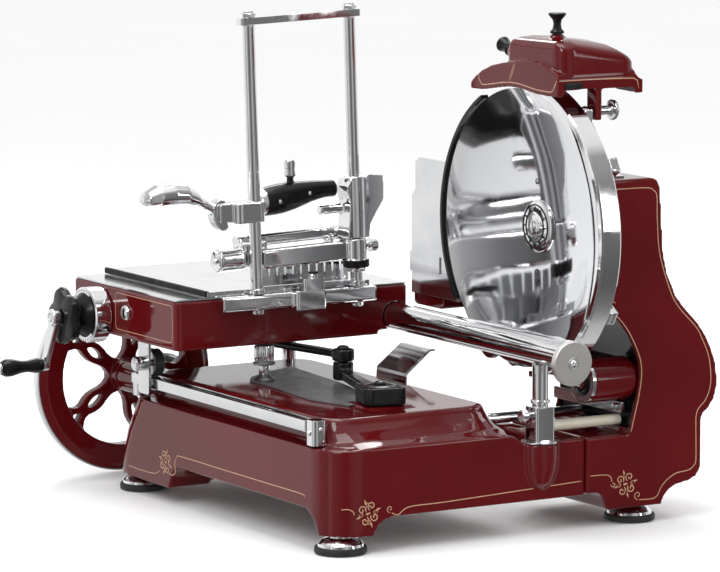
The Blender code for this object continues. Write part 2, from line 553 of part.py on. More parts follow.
put("table_top_plate", rbox(-43, 266, 294, 546, 247.4, 249.4, 3), "polished_steel")
put("meat_plate", rbox(-5, 215, 292.2, 541, 249.8, 256, 2), "polished_steel")
put("front_bar", front_bar(), "chrome")
put("plunger", turn("Z", (128, 276), [(0, 238), (5.9, 238), (5.9, 268), (4.5, 271), (0, 271.6)], 14), "chrome", (128, 276, 250))
put("post_left", moved(cyl("Z", (POST_L, POST_Y), POST_RAD, 254.2, 566, 18, 1), LEANING.copy()), "chrome")
put("post_right", moved(cyl("Z", (POST_R, POST_Y), POST_RAD, 249.8, 566, 18, 1), LEANING.copy()), "chrome")
put("top_bar", moved(csg(rbox(44, 204, 276, 290, 566.4, 574.5, 3), [("+", cyl("Z", (POST_L, POST_Y), 6.5, 573, 582, 10)), ("+", cyl("Z", (POST_R, POST_Y), 6.5, 573, 582, 10))]), LEANING.copy()), "chrome")


def spike_plate():
    pts = [(64, 256.4), (64, 262)]
    n = 12
    for k in range(n):
        x = 64 + 128 * (k + 0.5) / n
        pts += [(x - 4.6, 268), (x - 4.0, 279), (x + 4.0, 279), (x + 4.6, 268)]
    pts += [(192, 262), (192, 256.4)]
    return prism(pts[::-1], "Y", 304, 307)


put("spike_plate", spike_plate(), "polished_steel")
put("feed_screw", cyl("X", FEED_C, 4.6, -112, 150, 14, 0.6), "polished_steel", (-60, *FEED_C))


def lobed(r0, r1, lobes, n, c=FEED_C):
    out = []
    for k in range(n):
        a = 2 * math.pi * k / n
        r = r0 + (r1 - r0) * (0.5 + 0.5 * math.cos(lobes * a)) ** 0.7
        out.append((c[0] + r * math.cos(a), c[1] + r * math.sin(a)))
    return out


def thickness_knob():
    n = max(24, seg(24))
    n += -n % 5
    rings = []
    for x, k in ((-99.5, 0.74), (-97.5, 0.93), (-93, 1.0), (-88, 0.97), (-84.4, 0.80)):
        rings.append([(x, *p) for p in lobed(27.5 * k, 35.5 * k, 5, n)])
    inner = [[(x, *p) for p in circle(FEED_C, 4.95, n)] for x in (-84.4, -99.5)]
    return stack(rings + inner, close=True)


def crank_arm():
    y, z = FEED_C
    e = (505.0, 152.0)
    d = np.array([e[0] - y, e[1] - z])
    d = d / np.linalg.norm(d)
    s = np.array([-d[1], d[0]])
    a, b = np.array([y, z]), np.array(e)
    poly = [tuple(a + 9 * s), tuple(a - 9 * s), tuple(b - 5.5 * s), tuple(b + 5.5 * s)]
    return csg(prism(poly, "X", -109, -103), [("+", cyl("X", FEED_C, 10, -112, -101, 16, 1)), ("+", cyl("X", e, 7.5, -110, -102.5, 14)),
                                               ("+", cyl("X", e, 3.5, -164, -105, 12)), ("+", cyl("X", e, 6, -167, -163.4, 12)),
                                               ("-", cyl("X", FEED_C, 5, -115, -98, 14))])


put("thickness_knob", thickness_knob(), "black_plastic", (-90, *FEED_C))
put("feed_crank_arm", crank_arm(), "chrome", (-105, *FEED_C))
put("feed_crank_grip", turn("X", (505, 152), [(3.9, -163), (8, -163), (10.5, -158), (10.5, -150), (7.5, -138), (7, -130), (9, -118), (8, -111), (3.9, -111)], 16, closed=True), "black_plastic", (-130, 505, 152))


# ---------------------------------------------------------------- press
def press_bar():
    bar = rbox(POST_L + 9, POST_R - 6, 280, 300, 281, 303, 3, "X")
    post = (POST_R, POST_Y)
    return csg(bar, [("+", cyl("Z", post, 13, 278, 306, 22, 1)), ("+", cyl("Z", post, 11, 266.5, 279, 18)), ("+", cyl("Z", post, 14.5, 272, 281, 20)),
                     ("+", cyl("X", (310, 312), 8.5, POST_L - 12, POST_R + 2, 14)), ("+", box(POST_R - 24, POST_R - 6, 292, 316, 290, 305.5)),
                     ("+", cyl("X", (303, 294), 14, POST_L - 42, POST_L - 8, 20, 2)), ("+", rbox(POST_L - 12, POST_L + 22, 292.5, 312, 284, 312, 3)),
                     ("-", cyl("Z", post, 7.9, 250, 320, 20)), ("-", cyl("Z", (POST_L, POST_Y), 7.9, 250, 330, 20))])


def press_bracket():
    post = (POST_R, POST_Y)
    prof = [(176, 306.6), (205, 306.6), (207, 322), (216, 336), (226, 350), (226, 378), (205, 381), (200, 376), (182, 376), (176, 368), (180, 350), (179, 330)]
    return csg(prism(prof, "Y", 273, 300), [("+", cyl("Z", post, 12.5, 306.6, 379, 20)), ("+", cyl("X", (295, 341.5), 6, 150, 184, 12)),
                                            ("-", cyl("Z", post, 7.9, 290, 400, 20))])


def press_handle():
    pts = smooth([(64, 294, 356), (78, 294, 358), (96, 294, 360), (116, 294, 362.5), (136, 294, 365), (156, 294, 366), (172, 294, 365.5)], 2, False)
    body = sweep(pts, [float(np.interp(p[0], [62, 70, 82, 100, 120, 140, 156, 172], [13, 15.5, 17.3, 17.8, 15.5, 12, 10.2, 9.8])) for p in pts], 14)
    return csg(body, [("-", box(170, 190, 270, 320, 330, 390)), ("+", rbox(30, 68, 273, 305, 338, 362, 7)), ("-", cyl("Z", (POST_L, POST_Y), 8.2, 300, 400, 18)),
                      ("+", rbox(12, 34, 305, 309, 340, 362, 3, "Y")), ("+", rbox(12, 34, 283, 287, 340, 362, 3, "Y")), ("+", cyl("Y", (17, 351), 3.9, 284, 308, 14)),
                      ("+", turn("Z", (112, 294), [(4, 370), (4, 384), (7, 385), (7, 391), (6, 393), (7, 395), (7, 403), (5.5, 405)], 14))])


def paddle():
    """The flat thumb lever, swept along its arc with an oval section."""
    rings, n = [], seg(14)
    for x, z, h, w in ((-83, 374.5, 3.5, 7), (-78, 375.5, 8.5, 14), (-64, 377.5, 13.4, 19), (-46, 378, 14.4, 20), (-28, 376, 13.4, 19), (-14, 370.5, 10.5, 14), (-4, 363, 8.2, 9), (6, 357, 7, 8), (14, 353, 6, 7)):
        rings.append([(x, 296 + w * math.cos(2 * math.pi * k / n), z + h * math.sin(2 * math.pi * k / n)) for k in range(n)])
    return stack(rings)


def press_lever():
    body = paddle()
    claw = prism(smooth([(6, 352), (10, 364), (20, 367), (24, 358), (22, 346), (26, 334), (17, 330), (8, 340)], 2), "Y", 288, 304)
    return csg(body, [("+", claw), ("-", cyl("Y", (17, 351), 4.2, 270, 320, 14))])


put("press_bar", moved(press_bar(), LEANING.copy()), "chrome")
put("press_bracket", moved(press_bracket(), LEANING.copy()), "chrome")
put("press_handle", moved(press_handle(), LEANING.copy()), "black_plastic")
put("press_lever", moved(press_lever(), LEANING.copy()), "chrome", tuple(LEANING @ Vector((17, 296, 351))))
put("press_knob", moved(turn("X", (POST_Y, 296), [(0, POST_R + 13.4), (4, POST_R + 13.4), (4, POST_R + 18), (8.5, POST_R + 18.6), (8.5, POST_R + 26), (6.5, POST_R + 28), (0, POST_R + 28)], 16), LEANING.copy()), "chrome", tuple(LEANING @ Vector((POST_R + 20, POST_Y, 296))))

# ---------------------------------------------------------------- hood
put("hood_shell", hood_shell(), "red_enamel", (325, *HOOD_P))
put("hood_knob", turn("Z", (296, 19), [(0, 561.4), (7, 561.4), (8, 562.4), (8, 564), (5.2, 567), (4.3, 572), (5.2, 577), (9.6, 582), (10.4, 583.6), (9.2, 585), (0, 585)], 18), "black_plastic", (296, 19, 570))
put("stone_knob", moved(turn("Z", (0, 0), [(0, 16.4), (7.2, 16.4), (8.4, 18), (8.4, 20), (6, 23), (5.6, 28), (8.4, 33.5), (9, 36), (8, 38), (0, 38)], 18), STONE), "black_plastic", (292, 90, 533))


# ---------------------------------------------------------------- rocker and link
def rocker():
    p, e = np.array(ROCK_P), np.array(ROCK_E)
    d = (e - p) / np.linalg.norm(e - p)
    s = np.array([-d[1], d[0]])
    poly = [tuple(p + 10 * d + 10 * s), tuple(p + 10 * d - 10 * s), tuple(e - 6.5 * s), tuple(e + 6.5 * s)]
    hub = prism([tuple(p + a * d + b * s) for a, b in ((-28, -16), (-20, -25), (16, -25), (26, -14), (26, 14), (16, 25), (-20, 25), (-28, 16))], "Z", 148.2, 168)
    return csg(hub, [("+", prism(poly, "Z", 152, 163)), ("+", cyl("Z", ROCK_E, 12, 150, 171, 20, 1)), ("+", cyl("Z", ROCK_P, 17, 160, 169, 20, 1)),
                     ("+", cyl("Z", ROCK_P, 7.1, 131, 150, 16))])


def link():
    c, e = np.array(LINK_C), np.array(ROCK_E)
    d = (e - c) / np.linalg.norm(e - c)
    s = np.array([-d[1], d[0]])
    poly = [tuple(c + 8 * s), tuple(c - 8 * s), tuple(e - 8 * s), tuple(e + 8 * s)]
    return csg(prism(poly, "Z", 175.5, 183), [("+", cyl("Z", LINK_C, 11, 174.5, 185.6, 18)), ("+", cyl("Z", ROCK_E, 13, 172.2, 186, 20, 1)), ("-", cyl("Z", LINK_C, 5.5, 160, 190, 12))])


put("rocker_arm", rocker(), "black_steel", (*ROCK_P, 158))
put("link_arm", link(), "black_steel", (*LINK_C, 180))
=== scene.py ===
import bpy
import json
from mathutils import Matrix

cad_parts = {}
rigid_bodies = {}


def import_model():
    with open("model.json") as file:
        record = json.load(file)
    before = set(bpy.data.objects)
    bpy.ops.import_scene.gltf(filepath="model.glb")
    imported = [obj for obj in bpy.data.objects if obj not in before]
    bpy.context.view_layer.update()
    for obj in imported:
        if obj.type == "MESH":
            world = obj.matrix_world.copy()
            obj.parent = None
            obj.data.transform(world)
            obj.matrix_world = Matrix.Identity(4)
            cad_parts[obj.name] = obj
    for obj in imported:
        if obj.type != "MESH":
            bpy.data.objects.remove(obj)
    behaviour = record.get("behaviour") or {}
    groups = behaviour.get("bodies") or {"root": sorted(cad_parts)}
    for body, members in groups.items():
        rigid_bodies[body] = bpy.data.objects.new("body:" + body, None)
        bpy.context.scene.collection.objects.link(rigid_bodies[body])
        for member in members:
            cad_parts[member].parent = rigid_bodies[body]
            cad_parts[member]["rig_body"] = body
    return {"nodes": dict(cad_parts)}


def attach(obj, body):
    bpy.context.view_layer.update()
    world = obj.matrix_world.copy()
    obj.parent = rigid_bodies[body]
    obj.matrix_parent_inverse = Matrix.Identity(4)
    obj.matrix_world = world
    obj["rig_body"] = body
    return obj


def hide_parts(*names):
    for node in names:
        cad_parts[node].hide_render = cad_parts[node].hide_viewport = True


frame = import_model()

"""Looks for the hand-flywheel meat slicer. The tables are in millimetres, in the CAD's own layout;
put() turns them into metres in the row frame."""
import json
import math
import bpy
import bmesh
import numpy as np
from mathutils import Matrix, Vector

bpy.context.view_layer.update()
BODY = {n: o["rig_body"] for n, o in frame["nodes"].items()}

# ---------------------------------------------------------------- constants
Q = 2.2                               # segment multiplier
OFF = (-160.8, -288.72, 0.0)            # puts the middle of the underside at the origin
SEG = 20

BLADE_C = (68.0, 337.0)               # blade axis (Y, Z)
BLADE_R = 159.5
TUBE_X, TUBE_Z, TUBE_R = 250.0, 210.5, 16.3
WHEEL_C = (36.0, 120.0)               # flywheel axis (X, Z)
WHEEL_R = 116.5
CROSS_C = (68.0, 120.0)               # cross shaft axis (Y, Z)
ROLL_C = (-15.5, 400.0, 161.5)
ROLL_R = 16.3
FEED_C = (478.0, 212.0)               # feed screw axis (Y, Z)
ROCK_P = (102.0, 83.0)                 # rocker pivot (X, Y)
ROCK_E = (146.0, 238.0)               # rocker free end
LINK_C = (102.0, 455.0)                # link pivot under the table
HOOD_P = (-18.0, 476.0)               # hood pivot axis (Y, Z)
STONE = Matrix.Translation(Vector((292, 90, 533))) @ Matrix.Rotation(math.radians(-75), 4, "X")   # stone knob, along local Z
GRIP_C = (121.0, 120.0)               # flywheel grip axis (X, Z)
LEAN = -1.9                           # the holder leans this many degrees
LEAN_AT = (125.0, 283.0, 251.0)
POST_L, POST_R, POST_Y, POST_RAD = 57.0, 191.5, 283.0, 7.3
CHAIN_X = (391.0, 399.0)

TOWER = [(309, 40), (324, 41), (331, 36), (336.6, 20), (412.7, 20), (415, 27.5), (421, 34.5), (430, 39.8), (441, 42), (451, 43.6),
         (460, 48), (466, 56.5), (467.2, 72), (466.6, 106), (467.2, 115.5), (470.4, 121), (477.4, 126.6), (484.6, 136.5),
         (488.4, 150), (488.6, 162), (486, 178.6), (479.6, 196.6), (471, 212.5), (461, 226), (446, 241), (430.8, 258),
         (418, 285), (412, 310), (409, 349), (407, 385), (403, 394), (396, 397), (322, 397), (317, 392), (316, 300),
         (319, 275), (330, 256), (341.5, 246), (353, 234), (364, 220), (374.8, 200), (379.6, 186), (380.6, 170), (377, 148),
         (371.4, 126), (367.4, 105.5), (309, 105)]

def seg(n):
    return max(6, int(round(n * Q)))


def geo(verts, faces):
    bm = bmesh.new()
    vs = [bm.verts.new(v) for v in verts]
    for f in faces:
        if len(set(f)) >= 3:
            try:
                bm.faces.new([vs[i] for i in f])
            except ValueError:
                pass
    bmesh.ops.remove_doubles(bm, verts=bm.verts, dist=1e-5)
    bmesh.ops.recalc_face_normals(bm, faces=bm.faces)
    me = bpy.data.meshes.new("g")
    bm.to_mesh(me)
    bm.free()
    return me


def to3(p, axis, h):
    """A point of a plane and a height along axis: X planes hold (Y, Z), Y planes (X, Z), Z planes (X, Y)."""
    a, b = p
    return {"X": (h, a, b), "Y": (a, h, b), "Z": (a, b, h)}[axis]


def stack(rings, cap=True, close=False):
    """Skins a list of rings with equal point counts."""
    n = len(rings[0])
    verts = [p for r in rings for p in r]
    faces = []
    m = len(rings)
    for i in range(m if close else m - 1):
        a, b = i * n, ((i + 1) % m) * n
        for k in range(n):
            faces.append((a + k, a + (k + 1) % n, b + (k + 1) % n, b + k))
    if cap and not close:
        faces.append(tuple(range(n))[::-1])
        faces.append(tuple(range((m - 1) * n, m * n)))
    return geo(verts, faces)


def prism(poly, axis, lo, hi):
    return stack([[to3(p, axis, lo) for p in poly], [to3(p, axis, hi) for p in poly]])


def box(x0, x1, y0, y1, z0, z1):
    return prism([(x0, y0), (x1, y0), (x1, y1), (x0, y1)], "Z", z0, z1)


def circle(c, r, n, start=0.0):
    return [(c[0] + r * math.cos(start + 2 * math.pi * k / n), c[1] + r * math.sin(start + 2 * math.pi * k / n)) for k in range(n)]


def turn(axis, c, prof, n=SEG, closed=False):
    """A body of revolution. prof holds (radius, height); closed joins its last ring to its first."""
    n = seg(n)
    prof = [(max(r, 0.0), h) for r, h in prof]
    rings, verts, faces, idx = [], [], [], []
    for r, h in prof:
        if r < 1e-6:
            idx.append([len(verts)])
            verts.append(to3(c, axis, h))
        else:
            idx.append(list(range(len(verts), len(verts) + n)))
            verts += [to3(p, axis, h) for p in circle(c, r, n)]
    pairs = list(zip(range(len(prof)), range(1, len(prof))))
    if closed:
        pairs.append((len(prof) - 1, 0))
    for i, j in pairs:
        a, b = idx[i], idx[j]
        for k in range(n):
            q = (k + 1) % n
            if len(a) == 1 and len(b) == 1:
                continue
            if len(a) == 1:
                faces.append((a[0], b[q], b[k]))
            elif len(b) == 1:
                faces.append((a[k], a[q], b[0]))
            else:
                faces.append((a[k], a[q], b[q], b[k]))
    if not closed:
        for i in (0, -1):
            if len(idx[i]) > 1:
                faces.append(tuple(idx[i]))
    return geo(verts, faces)


def cyl(axis, c, r, lo, hi, n=SEG, ch=0.0):
    if ch:
        return turn(axis, c, [(r - ch, lo), (r, lo + ch), (r, hi - ch), (r - ch, hi)], n)
    return turn(axis, c, [(r, lo), (r, hi)], n)


def pipe(axis, c, r0, r1, lo, hi, n=SEG):
    return turn(axis, c, [(r0, lo), (r1, lo), (r1, hi), (r0, hi)], n, closed=True)


def rrect(x0, x1, y0, y1, r, n=5):
    """A rounded rectangle, counter-clockwise."""
    out = []
    r = min(r, (x1 - x0) / 2 - 0.01, (y1 - y0) / 2 - 0.01)
    k = max(2, int(round(n * Q)))
    for cx, cy, a0 in ((x1 - r, y1 - r, 0), (x0 + r, y1 - r, 90), (x0 + r, y0 + r, 180), (x1 - r, y0 + r, 270)):
        for i in range(k + 1):
            a = math.radians(a0 + 90 * i / k)
            out.append((cx + r * math.cos(a), cy + r * math.sin(a)))
    return out


def rbox(x0, x1, y0, y1, z0, z1, r, axis="Z", n=3):
    if axis == "Z":
        return prism(rrect(x0, x1, y0, y1, r, n), "Z", z0, z1)
    if axis == "Y":
        return prism(rrect(x0, x1, z0, z1, r, n), "Y", y0, y1)
    return prism(rrect(y0, y1, z0, z1, r, n), "X", x0, x1)


def sweep(path, r, n=10, flat=1.0):
    """A closed tube along a list of points. r is one radius or one for each point."""
    n = seg(n)
    pts = [Vector(p) for p in path]
    rs = r if isinstance(r, (list, tuple)) else [r] * len(pts)
    rings, up = [], None
    for i, p in enumerate(pts):
        t = (pts[min(i + 1, len(pts) - 1)] - pts[max(i - 1, 0)]).normalized()
        if up is None:
            up = t.orthogonal().normalized() if abs(t.z) > 0.9 else Vector((0, 0, 1))
        s = t.cross(up).normalized()
        up = s.cross(t).normalized()
        rings.append([tuple(p + rs[i] * (math.cos(2 * math.pi * k / n) * s + flat * math.sin(2 * math.pi * k / n) * up)) for k in range(n)])
    return stack(rings)


def smooth(points, per=4, closed=True):
    """Catmull-Rom through the points."""
    out, m = [], len(points)
    P = [np.array(p, float) for p in points]
    for i in range(m if closed else m - 1):
        g = [P[(i + d) % m] if closed else P[min(max(i + d, 0), m - 1)] for d in (-1, 0, 1, 2)]
        for k in range(per):
            t = k / per
            out.append(tuple(0.5 * ((2 * g[1]) + (g[2] - g[0]) * t + (2 * g[0] - 5 * g[1] + 4 * g[2] - g[3]) * t * t
                                    + (3 * g[1] - g[0] - 3 * g[2] + g[3]) * t ** 3)))
    if not closed:
        out.append(tuple(P[-1]))
    return out


def offset(poly, d):
    """Moves each edge of a counter-clockwise polygon inwards by d."""
    out, m = [], len(poly)
    for i in range(m):
        a, b, c = (np.array(poly[(i + k) % m], float) for k in (-1, 0, 1))
        n1 = np.array([-(b - a)[1], (b - a)[0]]) / np.linalg.norm(b - a)
        n2 = np.array([-(c - b)[1], (c - b)[0]]) / np.linalg.norm(c - b)
        k = n1 + n2
        k = k / max(np.dot(k, k), 0.5) * 2
        out.append(tuple(b + k * d))
    return out


def csg(base, ops):
    """ops is a list of ('+' or '-', mesh), applied in turn with the exact solver."""
    ob = bpy.data.objects.new("tmp", base)
    bpy.context.scene.collection.objects.link(ob)
    gone = []
    for kind, me in ops:
        other = bpy.data.objects.new("cut", me)
        bpy.context.scene.collection.objects.link(other)
        gone.append(other)
        m = ob.modifiers.new("b", "BOOLEAN")
        m.object = other
        m.solver = "EXACT"
        m.operation = "UNION" if kind == "+" else "DIFFERENCE"
    bpy.context.view_layer.update()
    dg = bpy.context.evaluated_depsgraph_get()
    me = bpy.data.meshes.new_from_object(ob.evaluated_get(dg))
    for o in gone + [ob]:
        bpy.data.objects.remove(o, do_unlink=True)
    bm = bmesh.new()
    bm.from_mesh(me)
    bmesh.ops.remove_doubles(bm, verts=bm.verts, dist=2e-3)
    bmesh.ops.dissolve_degenerate(bm, dist=1e-3, edges=bm.edges)
    bm.to_mesh(me)
    bm.free()
    return me


def moved(me, matrix):
    me.transform(matrix)
    return me


def about(axis, degrees, at):
    return Matrix.Translation(Vector(at)) @ Matrix.Rotation(math.radians(degrees), 4, axis) @ Matrix.Translation(-Vector(at))


LEANING = about("Y", LEAN, LEAN_AT)

# ---------------------------------------------------------------- materials
class Mat:
    """A small node-graph helper round one Principled shader."""

    def __init__(self, name, rough, metal=0.0, coat=0.0, coat_rough=0.03, ior=None, spec=None):
        self.m = bpy.data.materials.new(name)
        self.m.use_nodes = True
        self.t = self.m.node_tree
        self.b = self.t.nodes["Principled BSDF"]
        self.b.inputs["Metallic"].default_value = metal
        self.b.inputs["Roughness"].default_value = rough
        self.b.inputs["Coat Weight"].default_value = coat
        self.b.inputs["Coat Roughness"].default_value = coat_rough
        if ior:
            self.b.inputs["IOR"].default_value = ior
        if spec is not None:
            self.b.inputs["Specular IOR Level"].default_value = spec
        self.co = self.t.nodes.new("ShaderNodeTexCoord").outputs["Object"]

    def noise(self, scale, detail=4, stretch=(1, 1, 1), rough=0.5):
        mp = self.t.nodes.new("ShaderNodeMapping")
        mp.inputs["Scale"].default_value = stretch
        self.t.links.new(self.co, mp.inputs["Vector"])
        n = self.t.nodes.new("ShaderNodeTexNoise")
        n.inputs["Scale"].default_value = scale
        n.inputs["Detail"].default_value = detail
        n.inputs["Roughness"].default_value = rough
        self.t.links.new(mp.outputs["Vector"], n.inputs["Vector"])
        return n.outputs["Fac"]

    def ramp(self, fac, stops):
        r = self.t.nodes.new("ShaderNodeValToRGB")
        el = r.color_ramp.elements
        while len(el) < len(stops):
            el.new(0.5)
        for e, (p, c) in zip(el, stops):
            e.position = p
            e.color = (*c, 1) if isinstance(c, tuple) else (c, c, c, 1)
        self.t.links.new(fac, r.inputs["Fac"])
        return r.outputs["Color"]

    def span(self, fac, lo, hi, to_lo, to_hi):
        n = self.t.nodes.new("ShaderNodeMapRange")
        for k, v in (("From Min", lo), ("From Max", hi), ("To Min", to_lo), ("To Max", to_hi)):
            n.inputs[k].default_value = v
        self.t.links.new(fac, n.inputs["Value"])
        return n.outputs["Result"]

    def set(self, socket, value):
        self.t.links.new(value, self.b.inputs[socket])
        return self

    def bump(self, fac, strength, distance=0.001, radius=0.0):
        b = self.t.nodes.new("ShaderNodeBump")
        b.inputs["Strength"].default_value = strength
        b.inputs["Distance"].default_value = distance
        self.t.links.new(fac, b.inputs["Height"])
        if radius:
            r = self.t.nodes.new("ShaderNodeBevel")
            r.samples = 4
            r.inputs["Radius"].default_value = radius
            self.t.links.new(r.outputs["Normal"], b.inputs["Normal"])
        self.t.links.new(b.outputs["Normal"], self.b.inputs["Normal"])
        return self

    def radial(self, axis):
        """The distance from the object's own axis."""
        s = self.t.nodes.new("ShaderNodeVectorMath")
        s.operation = "MULTIPLY"
        s.inputs[1].default_value = tuple(0.0 if a == axis else 1.0 for a in "XYZ")
        self.t.links.new(self.co, s.inputs[0])
        d = self.t.nodes.new("ShaderNodeVectorMath")
        d.operation = "LENGTH"
        self.t.links.new(s.outputs["Vector"], d.inputs[0])
        return d.outputs["Value"]


MATS = {}


def enamel(name, dark, light):
    m = Mat(name, 0.06, spec=0.42)
    m.set("Base Color", m.ramp(m.noise(7, 3), [(0.3, dark), (0.7, light)]))
    m.set("Roughness", m.span(m.noise(45, 3), 0.3, 0.7, 0.045, 0.085))
    m.bump(m.noise(55, 1), 0.035, 0.0004)
    MATS[name] = m.m


enamel("red_enamel", (0.072, 0.0030, 0.0040), (0.094, 0.0042, 0.0055))

m = Mat("chrome", 0.06, metal=1.0)
m.set("Base Color", m.ramp(m.noise(30, 4), [(0.3, (0.80, 0.80, 0.81)), (0.7, (0.86, 0.86, 0.87))]))
m.set("Roughness", m.span(m.noise(85, 5), 0.3, 0.7, 0.035, 0.10))
m.bump(m.noise(45, 2), 0.03, 0.0004, 0.0006)
MATS["chrome"] = m.m

m = Mat("polished_steel", 0.14, metal=1.0)
m.set("Base Color", m.ramp(m.noise(22, 4), [(0.3, (0.70, 0.71, 0.72)), (0.7, (0.80, 0.80, 0.81))]))
m.set("Roughness", m.span(m.noise(240, 5, (1, 0.04, 1)), 0.3, 0.7, 0.09, 0.20))
m.bump(m.noise(420, 3, (1, 0.03, 1)), 0.05, 0.0002, 0.0005)
MATS["polished_steel"] = m.m

m = Mat("brushed_steel", 0.36, metal=1.0)
r = m.radial("Y")
w = m.t.nodes.new("ShaderNodeTexNoise")
w.noise_dimensions = "1D"
w.inputs["Scale"].default_value = 1500
w.inputs["Detail"].default_value = 3
m.t.links.new(r, w.inputs["W"])
m.set("Base Color", m.ramp(m.noise(35, 4), [(0.3, (0.86, 0.84, 0.81)), (0.7, (0.93, 0.91, 0.88))]))
m.set("Roughness", m.span(w.outputs["Fac"], 0.3, 0.7, 0.30, 0.46))
m.bump(w.outputs["Fac"], 0.10, 0.0002, 0.0006)
MATS["brushed_steel"] = m.m

m = Mat("blade_steel", 0.05, metal=1.0)
r = m.radial("X")
w = m.t.nodes.new("ShaderNodeTexNoise")
w.noise_dimensions = "1D"
w.inputs["Scale"].default_value = 900
w.inputs["Detail"].default_value = 4
m.t.links.new(r, w.inputs["W"])
m.set("Base Color", m.ramp(r, [(0.0, (0.80, 0.81, 0.83)), (0.147, (0.84, 0.85, 0.87)), (0.150, (0.93, 0.93, 0.94)), (0.2, (0.93, 0.93, 0.94))]))
m.set("Roughness", m.span(w.outputs["Fac"], 0.3, 0.7, 0.012, 0.045))
m.bump(w.outputs["Fac"], 0.02, 0.0002)
MATS["blade_steel"] = m.m

m = Mat("grey_steel", 0.4, metal=1.0)
m.set("Base Color", m.ramp(m.noise(50, 6), [(0.3, (0.22, 0.22, 0.23)), (0.7, (0.36, 0.36, 0.37))]))
m.set("Roughness", m.span(m.noise(120, 5), 0.3, 0.7, 0.3, 0.5))
m.bump(m.noise(300, 4), 0.1, 0.0003, 0.0006)
MATS["grey_steel"] = m.m

m = Mat("black_steel", 0.22, spec=0.34)
m.set("Base Color", m.ramp(m.noise(40, 5), [(0.3, (0.003, 0.003, 0.0035)), (0.7, (0.009, 0.009, 0.010))]))
m.set("Roughness", m.span(m.noise(110, 5), 0.3, 0.7, 0.10, 0.22))
m.bump(m.noise(160, 4), 0.06, 0.0003, 0.0012)
MATS["black_steel"] = m.m

m = Mat("black_plastic", 0.2, spec=0.30)
m.set("Base Color", m.ramp(m.noise(25, 4), [(0.3, (0.003, 0.003, 0.0035)), (0.7, (0.007, 0.007, 0.008))]))
m.set("Roughness", m.span(m.noise(90, 4), 0.3, 0.7, 0.16, 0.28))
m.bump(m.noise(200, 3), 0.04, 0.0003, 0.0008)
MATS["black_plastic"] = m.m

# matt black, used only for the strip of painted shade on the meat plate's left edge
m = Mat("black_matt", 0.5, spec=0.2)
m.set("Base Color", m.ramp(m.noise(40, 4), [(0.3, (0.004, 0.004, 0.004)), (0.7, (0.010, 0.010, 0.010))]))
m.set("Roughness", m.span(m.noise(90, 4), 0.3, 0.7, 0.4, 0.6))
m.bump(m.noise(220, 3), 0.08, 0.0003)
MATS["black_matt"] = m.m

m = Mat("rubber", 0.7)
m.set("Base Color", m.ramp(m.noise(70, 5), [(0.3, (0.010, 0.010, 0.010)), (0.7, (0.022, 0.022, 0.022))]))
m.set("Roughness", m.span(m.noise(150, 5), 0.3, 0.7, 0.55, 0.8))
m.bump(m.noise(500, 4), 0.2, 0.0003, 0.0008)
MATS["rubber"] = m.m

m = Mat("ivory_rod", 0.3, coat=0.4, coat_rough=0.1)
m.set("Base Color", m.ramp(m.noise(30, 4), [(0.3, (0.52, 0.48, 0.38)), (0.7, (0.64, 0.60, 0.50))]))
m.bump(m.noise(90, 4), 0.06, 0.0003)
MATS["ivory_rod"] = m.m

m = Mat("nylon", 0.4)
m.set("Base Color", m.ramp(m.noise(60, 4), [(0.3, (0.020, 0.020, 0.021)), (0.7, (0.034, 0.034, 0.036))]))
m.set("Roughness", m.span(m.noise(130, 4), 0.3, 0.7, 0.34, 0.5))
m.bump(m.noise(260, 3), 0.08, 0.0003, 0.0006)
MATS["nylon"] = m.m

m = Mat("gold_paint", 0.35, coat=0.6, coat_rough=0.05)
m.set("Base Color", m.ramp(m.noise(80, 4), [(0.3, (0.40, 0.21, 0.12)), (0.7, (0.50, 0.28, 0.16))]))
m.bump(m.noise(300, 3), 0.04, 0.0002)
MATS["gold_paint"] = m.m

m = Mat("floor", 0.6, spec=0.1)
m.set("Base Color", m.ramp(m.noise(2, 2), [(0.3, (0.95, 0.95, 0.95)), (0.7, (0.965, 0.965, 0.965))]))
MATS["floor"] = m.m

PARTS = {}
# pieces in two finishes: the second finish, and where it is
SPLIT = {
    "press_handle": ("chrome", lambda p, n: p.x < 70 or (p.z > 382 and 98 < p.x < 122)),
    "roller": ("chrome", lambda p, n: math.hypot(p.y - ROLL_C[1], p.z - ROLL_C[2]) < 9),
    # the gauge plate's rim ring is black: partly a real dark edge ring, partly painted shade of the gap beside the
    # blade
    "gauge_plate": ("black_steel", lambda p, n: math.hypot(p.y - BLADE_C[0], p.z - BLADE_C[1]) < 165.2 and not 277.2 < p.x < 281.8),
    "flat_rail": ("black_steel", lambda p, n: -18.5 < p.x < -12.5 and p.z < 144.6 and 59 < p.y < 381),
    "thickness_knob": ("chrome", lambda p, n: math.hypot(p.y - FEED_C[0], p.z - FEED_C[1]) < 6),
}
CAST = {"base_body": 2.0, "tower_housing": 2.0, "table_body": 2.0, "rear_frame": 2.0, "gauge_bracket": 1.2, "blade_support_arm": 1.2,
        "press_bracket": 1.0, "press_handle": 1.0, "press_lever": 1.0, "rocker_arm": 1.2, "link_arm": 1.2, "press_bar": 1.0, "flywheel": 1.4,
        "front_bar": 1.0, "feed_crank_arm": 0.7, "hood_shell": 1.3}


def cast(me, size, rounds=6):
    """Turns a built-up mesh into one smooth skin with softly rounded edges, as a casting has."""
    ob = bpy.data.objects.new("tmp", me)
    bpy.context.scene.collection.objects.link(ob)
    r = ob.modifiers.new("r", "REMESH")
    r.mode = "VOXEL"
    r.voxel_size = size
    r.use_smooth_shade = True
    s = ob.modifiers.new("s", "SMOOTH")
    s.factor = 0.5
    s.iterations = rounds
    bpy.context.view_layer.update()
    dg = bpy.context.evaluated_depsgraph_get()
    out = bpy.data.meshes.new_from_object(ob.evaluated_get(dg))
    bpy.data.objects.remove(ob, do_unlink=True)
    return out


